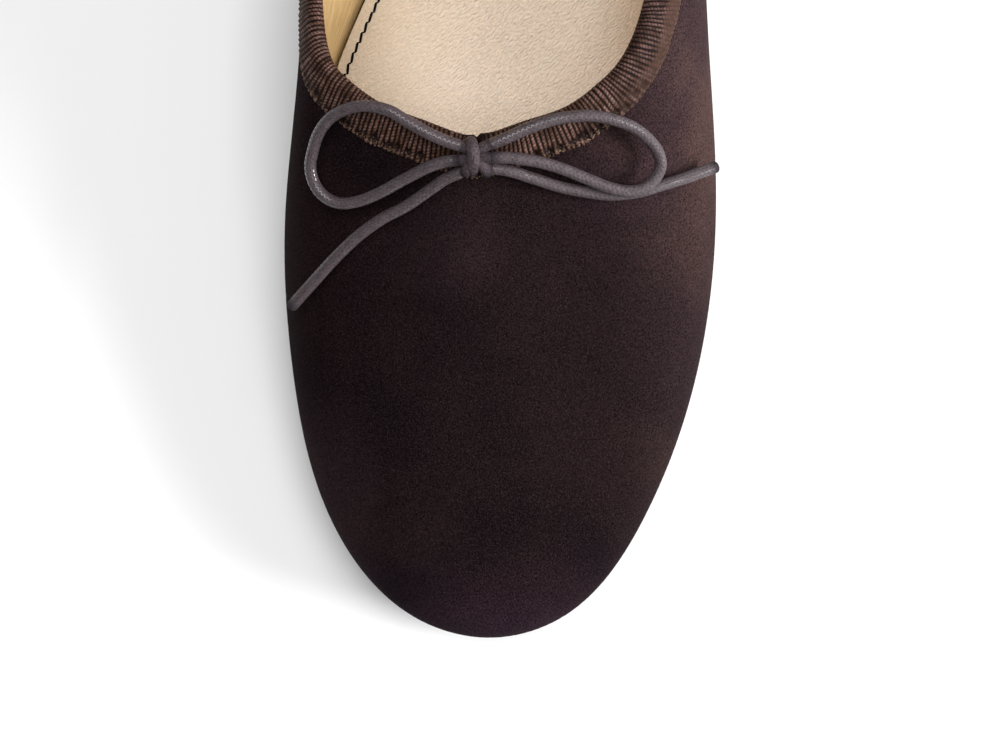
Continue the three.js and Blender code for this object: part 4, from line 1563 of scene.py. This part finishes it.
@dataclass
class Binding:
    """The grosgrain ribbon folded over the collar. Its two ends meet under the bow."""

    last: Last
    width: float = 6.4
    inner_width: float = 4.5
    thickness: float = 0.95  # of ribbon and seam allowance, out from the suede
    wall: float = 1.5
    outer_rows: tuple[float, ...] = (6.4, 6.15, 5.85, 5.5, 5.15, 4.75, 4.35, 3.9, 3.4, 2.8, 2.1, 1.4, 0.7)
    fold_rows: int = 8
    inner_rows: Triple = (0.9, 2.0, 3.2)
    back_every: int = 3  # rows of the face to one of the back
    back_gaps: Triple = (0.05, 0.02, 0.08)  # from the wall: inside, over the fold and outside
    selvedge_thin: Pair = (0.55, 1.2)  # share of the thickness at the selvedge, and the width to the full one
    selvedge_stand: float = 0.15
    least_stand: float = 0.12
    rib_pitch: float = 0.875
    rib_depth: float = 0.3
    columns_per_rib: int = 5
    rib_wander: Wave = Wave(0.22, 7.0, 5)
    wander_width: float = 2.3
    rib_slant: Wave = Wave(0.16, 19.0, 11)
    slant_width: float = 3.0
    rib_drift: Wave = Wave(0.10, 2.9, 14)
    rib_fullness: float = 0.8
    rib_uneven: Wave = Wave(0.3, 2.6, 8)
    uneven_weights: Pair = (0.6, 0.4)
    uneven_turn: float = 1.9
    inner_flat: float = 0.6  # how much flatter the ribs are inside
    inner_from: float = 1.2  # radians round the fold
    scallop: float = 0.2
    scallop_rows: Triple = (1.0, 0.7, 0.3)
    selvedge_waves: tuple[Wave, Wave] = (Wave(0.14, 5.0, 21), Wave(0.07, 1.1, 23))
    pinch_seed: int = 17
    pinch_margin: float = 2.0
    pinch_step: Pair = (0.95, 2.5)
    pinch_middle: Pair = (0.9, 2.1)
    pinch_long: Pair = (0.38, 0.72)
    pinch_wide: Pair = (0.45, 1.0)
    pinch_strength: Pair = (0.9, 1.7)
    pinch_depth: float = 0.5
    front: Triple = (0.1, -29.0, 14.0)  # the pinches' least strength, and the place and reach of the full one
    worn_width: float = 3.1
    worn_sway: Wave = Wave(0.6, 11.0, 31)
    worn_edge: float = 0.9
    worn_start: Pair = (-21.0, 9.0)  # along the shoe, and the length over which it rises
    worn_end: Pair = (52.0, 20.0)
    worn_rise: float = 8.0  # across the shoe
    worn_flat: float = 0.6
    worn_level: float = 0.45
    gather_x: float = -3.7
    gather_reach: float = 2.2
    gather_height: float = 0.4
    # painted shade beside the knot: lowering the ribs there darkens their colour
    gather_flat_and_shade: float = 0.55
    throat_x: float = -4.4
    throat_y: float = -10.0  # the throat lies ahead of this
    end_fold: float = 0.7
    end_shares: Pair = (0.35, 0.45)  # how much of the ribs and of the thickness is left at the ends
    match_parts: int = 200  # of a millimetre, to find a point again

    def throat_place(self, s: np.ndarray) -> int:
        """Finds where the ribbon's ends meet at the throat.

        Args:
            s: The columns' places round the shoe.

        Returns:
            The column nearest to it.
        """
        collar = self.last.point(s, 1)
        miss = np.abs(collar[:, 0] - self.throat_x)
        return int(np.argmin(np.where(collar[:, 1] > self.throat_y, np.inf, miss)))

    def build(self) -> None:
        """Lays the ribbon over the collar from the throat round to the throat."""
        step = self.rib_pitch / self.columns_per_rib
        s, along = self.last.collar_places(step)
        cut = self.throat_place(s)
        s = np.concatenate([s[cut:-1], s[: cut + 1] + self.last.ring])
        along = np.concatenate([along[cut:-1], along[: cut + 1] + along[-1]])
        from_end = np.minimum(along - along[0], along[-1] - along)
        self.lay(s, along, np.clip(from_end / self.end_fold, 0, 1))

    def rib(self, along: np.ndarray, across: np.ndarray) -> np.ndarray:
        """The ribs' height from 0 to 1.

        Args:
            along: Distances along the ribbon, one column each.
            across: Distances across it from the outer selvedge.

        Returns:
            A height for each column and each distance across.
        """
        columns, rows = along[:, None], across[None, :]
        wander = self.rib_wander.at(along)[:, None] * np.cos(rows / self.wander_width)
        slant = self.rib_slant.at(along)[:, None] * (rows - self.slant_width) / self.slant_width
        phase = columns / self.rib_pitch + wander + slant + self.rib_drift.at(along)[:, None]
        lobes = np.abs(np.cos(np.pi * phase)) ** self.rib_fullness
        base, swing = self.uneven_weights
        patches = base + swing * np.sin(rows * self.uneven_turn + columns)
        return np.clip(lobes * (1 - np.abs(self.rib_uneven.at(along))[:, None] * patches), 0, 1)

    def pinches(self, along: np.ndarray, across: np.ndarray, front: np.ndarray) -> np.ndarray:
        """Where the draw cord pinches folds into the ribbon near its outer selvedge: they are dented in the mesh, and
        their dark is painted shade through the lowered rib height.

        Args:
            along: Distances along the ribbon.
            across: Distances across it.
            front: How near each column is to the toe side, from 0 to 1.

        Returns:
            A depth from 0 to 1 for each column and each distance across.
        """
        draw = np.random.default_rng(self.pinch_seed)
        total = np.zeros((len(along), len(across)))
        ranges = (self.pinch_middle, self.pinch_long, self.pinch_wide, self.pinch_strength)
        at = along[0] + self.pinch_margin
        while at < along[-1] - self.pinch_margin:
            middle, long, wide, strength = (draw.uniform(low, high) for low, high in ranges)
            deep = min(1.0, strength * float(np.interp(at, along, front)))
            spot = np.exp(-(((along[:, None] - at) / long) ** 2) - ((across[None, :] - middle) / wide) ** 2)
            total = np.maximum(total, deep * spot)
            at += draw.uniform(*self.pinch_step)
        return total

    def wear(self, collar: np.ndarray, along: np.ndarray, across: np.ndarray) -> np.ndarray:
        """Where the ribbon is worn smooth: outside the foot, near the outer selvedge.

        Args:
            collar: The collar's point at each column.
            along: Distances along the ribbon.
            across: Distances across it.

        Returns:
            A share from 0 to 1 for each column and each distance across.
        """
        (start, start_run), (end, end_run) = self.worn_start, self.worn_end
        x, y = collar[:, 0], collar[:, 1]
        outside = np.clip((y - start) / start_run, 0, 1) * np.clip(x / self.worn_rise, 0, 1)
        outside = outside * np.clip((end - y) / end_run, 0, 1)
        limit = self.worn_width + self.worn_sway.at(along)[:, None]
        return outside[:, None] * np.clip((limit - across[None, :]) / self.worn_edge + 0.5, 0, 1)

    def lay(self, s: np.ndarray, along: np.ndarray, fold: np.ndarray) -> None:
        """Builds the ribbon's mesh.

        Args:
            s: The columns' places round the shoe.
            along: The columns' distances along the ribbon.
            fold: 0 at the ribbon's ends, rising to 1.
        """
        outer_leg = np.array(self.outer_rows)
        half_wall = self.wall / 2
        angles = np.linspace(0, np.pi, self.fold_rows)
        inner_leg = np.array([*self.inner_rows, self.inner_width])
        bead = half_wall + self.thickness
        collar = self.last.point(s, 1)
        x, y = collar[:, 0], collar[:, 1]
        least, middle, far = self.front
        front = least + (1 - least) * np.exp(-(((y - middle) / far) ** 2))
        fold_end = self.width + bead * np.pi
        across = np.concatenate([self.width - outer_leg, self.width + bead * angles, fold_end + inner_leg])
        worn = self.wear(collar, along, across)
        pinch = self.pinches(along, across, front)
        rib_rise, thickness_rise = (share + (1 - share) * fold[:, None] for share in self.end_shares)
        height = self.rib(along, across) * rib_rise
        # wear sets the worn ribs' height; the pinches lower it, which paints shade in their folds
        height = (height * (1 - self.worn_flat * worn) + self.worn_level * worn) * (1 - pinch)
        gather = np.exp(-(((x - self.gather_x) / self.gather_reach) ** 2)) * (y < 0)
        # painted shade round the knot: the ribs are lowered, so their colour darkens
        height = height * (1 - self.gather_flat_and_shade * gather[:, None])
        inside = across > self.width + bead * self.inner_from
        relief = self.rib_depth * (height - 1) * (1 - self.inner_flat * inside)[None, :]
        relief -= self.pinch_depth * pinch
        least, to_full = self.selvedge_thin
        thin = np.clip(least + across / to_full, 0, 1)[None, :]
        stand = self.thickness * thickness_rise * thin + relief
        stand += self.gather_height * gather[:, None] * (across > self.width)[None, :]
        scallop = self.scallop * np.abs(np.cos(np.pi * along / self.rib_pitch))
        for wave in self.selvedge_waves:
            scallop = scallop + wave.at(along)
        reach = np.broadcast_to(outer_leg, (len(s), len(outer_leg))).copy()
        for k, share in enumerate(self.scallop_rows):
            reach[:, k] += scallop * share
        outer_t = self.last.below_collar(s, reach)
        inner_t = self.last.below_collar(s, np.broadcast_to(inner_leg, (len(s), len(inner_leg))))
        count = len(outer_leg)
        low = np.maximum(stand[:, :count], self.least_stand)
        low[:, 0] = self.selvedge_stand
        outer = self.last.offset(s[:, None], outer_t, low)
        normal, up = self.last.normal(s, 1), self.last.up(s, 1)
        centre = collar - normal * half_wall
        arc = half_wall + stand[:, count : count + len(angles)]
        swing = normal[:, None, :] * np.cos(angles)[None, :, None] + up[:, None, :] * np.sin(angles)[None, :, None]
        over = centre[:, None, :] + swing * arc[..., None]
        inner = self.last.offset(s[:, None], inner_t, -self.wall - stand[:, count + len(angles) :])
        inner_gap, fold_gap, outer_gap = self.back_gaps
        back_inner = self.last.offset(s[:, None], inner_t[:, ::-1], np.full(inner_t.shape, -self.wall + inner_gap))
        back_over = centre[:, None, :] + swing[:, :: -self.back_every] * (half_wall - fold_gap)
        back_t = np.concatenate([outer_t[:, :: -self.back_every], outer_t[:, :1]], axis=1)
        back_outer = self.last.offset(s[:, None], back_t, np.full(back_t.shape, -outer_gap))
        section = np.concatenate([outer, over, inner, back_inner, back_over, back_outer, outer[:, :1]], axis=1)
        rest = section.shape[1] - len(across)
        spread = np.concatenate([across, np.linspace(across[-1], 0, rest)])
        uv = np.stack(np.broadcast_arrays(along[:, None], spread[None, :]), axis=-1)
        ribbon = laid_grid("topline_ribbon", section, uv, caps=True)
        none = np.zeros((len(s), rest))
        self.note(ribbon, section, "rib_height", np.concatenate([height, none], axis=1))
        self.note(ribbon, section, "worn", np.concatenate([worn, none], axis=1))
        mount(ribbon, RIBBON, Slot.RIBBON, "topline_binding")

    def note(self, ribbon: bpy.types.Object, section: np.ndarray, name: str, values: np.ndarray) -> None:
        """Keeps a value for each point of the finished mesh.

        Args:
            ribbon: The piece.
            section: The points that it was laid on.
            name: The attribute's name.
            values: Their values.
        """

        def keys(places: np.ndarray) -> list[tuple[int, ...]]:
            """Rounded places, which a point and its value share."""
            return [tuple(p) for p in np.rint(places * self.match_parts).astype(int).tolist()]

        known = dict(zip(keys(section.reshape(-1, 3))[::-1], values.ravel()[::-1]))
        found = [known.get(key, 0.5) for key in keys(vertex_places(ribbon.data) / MM)]
        note_heights(ribbon, name, np.array(found))


@dataclass
class Slab:
    """A flat piece under the foot, made of bars across the shoe from the heel back to the toe tip."""

    last: Last
    bars: int = 141
    across: int = 24
    crown_reach: float = 20.0

    def loops(self, edges: Sequence[tuple[np.ndarray, np.ndarray, np.ndarray]], lift: float = 0.0) -> np.ndarray:
        """The closed section of each bar.

        Args:
            edges: From the bottom up, the outer edge's points, the inner edge's and the height over the sole's
                bottom line.
            lift: How far the middle of the top stands up.

        Returns:
            Bars by points, round each section.
        """
        share = np.linspace(0, 1, self.across)[None, :, None]

        def row(level: int) -> np.ndarray:
            """One level's points from the outer side to the inner side."""
            outer, inner, height = edges[level]
            points = outer[:, None, :] * (1 - share) + inner[:, None, :] * share
            points[..., 2] = self.last.sole_lift(points[..., 1]) + height
            return points

        levels = [row(k) for k in range(len(edges))]
        top = levels[-1].copy()
        half = np.linalg.norm(edges[-1][0] - edges[-1][1], axis=1)[:, None] / 2
        crown = np.clip(1 - (2 * share[..., 0] - 1) ** 2, 0, 1) * np.clip(half / self.crown_reach, 0, 1)
        top[..., 2] += lift * crown
        outer_up = [level[:, :1] for level in levels[1:-1]]
        inner_down = [level[:, -1:] for level in levels[-2:0:-1]]
        loop = [levels[0][:, ::-1], *outer_up, top, *inner_down, levels[0][:, -1:]]
        return np.concatenate(loop, axis=1)

    def piece(self, name: str, loops: np.ndarray) -> bpy.types.Object:
        """The slab's mesh.

        Args:
            name: The piece's name.
            loops: Its bars' closed sections.

        Returns:
            The piece.
        """
        run = np.linalg.norm(np.diff(loops, axis=1), axis=2)
        round_length = np.concatenate([np.zeros((len(loops), 1)), np.cumsum(run, axis=1)], axis=1)
        uv = np.stack([round_length, np.broadcast_to(loops[:, :1, 1], round_length.shape)], axis=-1)
        return laid_grid(name, loops, uv, flip=False, caps=True)


@dataclass
class Insole(Slab):
    """The insole and its leather sock, with a line of slanted stitches along the inner edge."""

    thickness: float = 2.4
    inset: float = 1.75
    crown: float = 0.35
    profile: tuple[Pair, ...] = ((0.0, 0.25), (0.35, 0.0), (0.75, 0.0), (0.9, 0.12), (0.975, 0.32), (1.0, 0.62))
    seam_span: Pair = (0.56, 0.97)  # shares of the way round the shoe
    seam_steps: int = 1200
    stitch_inset: Pair = (2.25, 2.9)  # at the front and from the waist back
    waist: Pair = (-16.0, 0.0)
    stitch_lift: float = 0.12
    stitch_length: float = 2.2
    stitch_slant: float = 13.0
    stitch_seed: int = 29
    stitch_sway: Pair = (0.12, 4.0)  # millimetres along the seam, and degrees
    stitch_shares: tuple[float, ...] = (-0.42, -0.36, -0.2, 0.0, 0.2, 0.36, 0.42)
    stitch_dips: tuple[float, ...] = (0.24, 0.1, 0, 0, 0, 0.1, 0.24)
    stitch_sides: int = 8
    thread: float = 0.52
    jog: float = 0.44
    jog_drop: float = 0.1
    jog_sides: int = 6

    def edge(self, s: np.ndarray, height: float) -> np.ndarray:
        """The insole's edge at a height over the sole."""
        t = self.last.at_height(s, self.inset, height + self.last.gap)
        return self.last.offset(s, t, np.full(s.shape, -self.inset))

    def build(self) -> None:
        """Makes the slab and sews it."""
        outer, inner = self.last.bars(self.bars)
        base = self.last.sole_thickness + self.last.gap
        edges = []
        for up, cut in self.profile:
            height = up * self.thickness
            a, b = self.edge(outer, height), self.edge(inner, height)
            wide = np.linalg.norm(b - a, axis=1, keepdims=True)
            across = unit(np.where(wide > TINY, b - a, 1))
            room = np.minimum(cut, wide / 2)
            edges.append((a + across * room, b - across * room, base + height))
        sock = self.piece("insole_sock", self.loops(edges, self.crown))
        mount(sock, SOCK, Slot.SOCK, "insole")
        self.sew()

    def sew(self) -> None:
        """Lays one slanted stitch after another along the inner edge, joined by thinner jogs."""
        first, final = self.seam_span
        s = np.linspace(self.last.ring * first, self.last.ring * final, self.seam_steps)
        rim = self.edge(s, self.thickness)
        inward = -unit(self.last.normal(s, 0.0) * np.array([1, 1, 0]))
        line = rim + inward * np.interp(rim[:, 1], self.waist, self.stitch_inset)[:, None]
        line[:, 2] = self.last.sole_top(line[:, 1]) + self.last.gap + self.thickness + self.stitch_lift
        run = run_lengths(line)
        count = int(run[-1] / self.stitch_length)
        draw = np.random.default_rng(self.stitch_seed)
        shift, swing = self.stitch_sway
        at = (np.arange(count) + 0.5) * self.stitch_length + draw.uniform(-shift, shift, count)
        middle, further = (
            np.stack([np.interp(place, run, line[:, k]) for k in range(3)], axis=1) for place in (at, at + 1)
        )
        ahead = unit(further - middle)
        turn = np.radians(self.stitch_slant + draw.uniform(-swing, swing, count))
        share = np.array(self.stitch_shares)[:, None]
        drop = np.array([0, 0, self.jog_drop])
        stitches, joints = [], []
        for k in range(count):
            (x, y, z), cosine, sine = ahead[k], math.cos(turn[k]), math.sin(turn[k])
            lay = np.array([x * cosine - y * sine, x * sine + y * cosine, z])
            points = middle[k] + lay * share * self.stitch_length
            joints.extend(points[i] - drop for i in (0, len(points) // 2, -1))
            points[:, 2] -= np.array(self.stitch_dips)
            stitches.append(tube(f"stitch_{k}", points, self.thread / 2, self.stitch_sides))
        stitches.append(tube("jogs", np.array(joints), self.jog / 2, self.jog_sides))
        mount(joined("sock_stitches", stitches), STITCH, Slot.CORD)


@dataclass
class Outsole(Slab):
    """The thin leather sole with a burnished edge."""

    margin: float = 0.8
    profile: tuple[Pair, ...] = (
        (0.0, 1.0), (0.06, 0.55), (0.18, 0.2), (0.35, 0.02), (0.6, 0.0), (0.82, 0.08), (0.94, 0.3), (1.0, 0.6),
    )

    def build(self) -> None:
        """Makes the sole."""
        outer, inner = self.last.bars(self.bars)
        edges = []
        for up, cut in self.profile:
            reach = np.full(outer.shape, self.margin - cut)
            sides = (self.last.sole_edge(side, reach) for side in (outer, inner))
            edges.append((*sides, up * self.last.sole_thickness))
        sole = self.piece("outsole_leather", self.loops(edges))
        mount(sole, SOLE_EDGE, Slot.SOLE, "outsole")


@dataclass
class Heel(Slab):
    """The low heel: leather lifts over a rubber top piece."""

    length: float = 53.0
    taper: float = 1.6
    inset: float = 0.4
    hollow: float = 3.0
    margin: float = 0.8
    rubber: float = 2.4
    bars: int = 41
    halvings: int = 40
    # Over the rubber: height, the height whose taper holds there, and how far the edge is cut in
    lift_profile: tuple[Triple, ...] = (
        (0.05, 0.0, 0.25), (0.3, 0.0, 0.0), (2.4, 2.4, 0.0), (2.55, 2.5, 0.1), (2.7, 2.7, 0.0),
    )
    lift_top: tuple[Pair, ...] = ((0.2, 0.0), (0.0, 0.2))  # under the top, and cut in
    rubber_foot: tuple[Pair, ...] = ((0.0, 0.35), (0.3, 0.0))  # over the floor, and cut in
    rubber_top: tuple[Pair, ...] = ((0.3, -0.02), (0.0, 0.22))  # under the rubber's top, and cut in

    def front_place(self, start: float, end: float) -> float:
        """Finds where the heel's front face meets the sole's edge.

        Args:
            start: A place behind it.
            end: A place ahead of it.

        Returns:
            The place round the shoe.
        """
        front = self.last.length / 2 - self.length
        for _ in range(self.halvings):
            middle = (start + end) / 2
            if float(self.last.sole_edge(np.array([middle]), np.zeros(1))[0, 1]) > front:
                start = middle
            else:
                end = middle
        return start

    def block(self, name: str, profile: Sequence[Pair]) -> bpy.types.Object:
        """One layer of the heel.

        Args:
            name: The piece's name.
            profile: Heights and their insets, from the bottom up.

        Returns:
            The layer's mesh.
        """
        share = np.linspace(0, 1, self.bars)
        outer = self.front_place(0, self.last.ring / 2) * share
        inner = self.last.ring + (self.front_place(self.last.ring, self.last.ring / 2) - self.last.ring) * share
        edges = []
        for height, inset in profile:
            reach = np.full(share.shape, self.margin - inset)
            edges.append((self.last.sole_edge(outer, reach), self.last.sole_edge(inner, reach), height))
        loops = self.loops(edges)
        bottom, *middle, top = (height for height, _ in profile)
        heights = [bottom] * self.across + middle + [top] * self.across + middle[::-1] + [bottom]
        loops[..., 2] = np.array(heights)[None, :]
        a, b, _ = edges[0]
        width = np.maximum(np.linalg.norm(b - a, axis=1), TINY)[:, None]
        across = np.clip(np.linalg.norm(loops[..., :2] - a[:, None, :2], axis=2) / width, 0, 1)
        loops[..., 1] += 4 * across * (1 - across) * share[:, None] ** 2 * self.hollow
        return self.piece(name, loops)

    def build(self) -> None:
        """Makes the lifts and the top piece."""
        top = self.last.heel_height - self.last.gap

        def inset(height: float) -> float:
            """The taper at a height."""
            return self.inset + self.taper * (1 - height / top)

        low = self.rubber
        lifts = [(low + height, inset(low + at) + cut) for height, at, cut in self.lift_profile]
        lifts += [(top - under, inset(top) + cut) for under, cut in self.lift_top]
        mount(self.block("heel_lifts", lifts), HEEL_STACK, Slot.SOLE, "heel")
        rubber = [(height, inset(0) + cut) for height, cut in self.rubber_foot]
        rubber += [(low - under, inset(low) + cut) for under, cut in self.rubber_top]
        mount(self.block("heel_top_piece", rubber), RUBBER, Slot.SOLE, "heel")


def main() -> None:
    """Builds the studio and the shoe."""
    logging.basicConfig(level=logging.INFO, format="%(name)s: %(message)s")
    studio = Studio()
    studio.camera()
    Bow().build()
    last = Last()
    Upper(last).build()
    Binding(last).build()
    Insole(last).build()
    Outsole(last).build()
    Heel(last).build()
    studio.build()


if __name__ == "__main__":
    main()
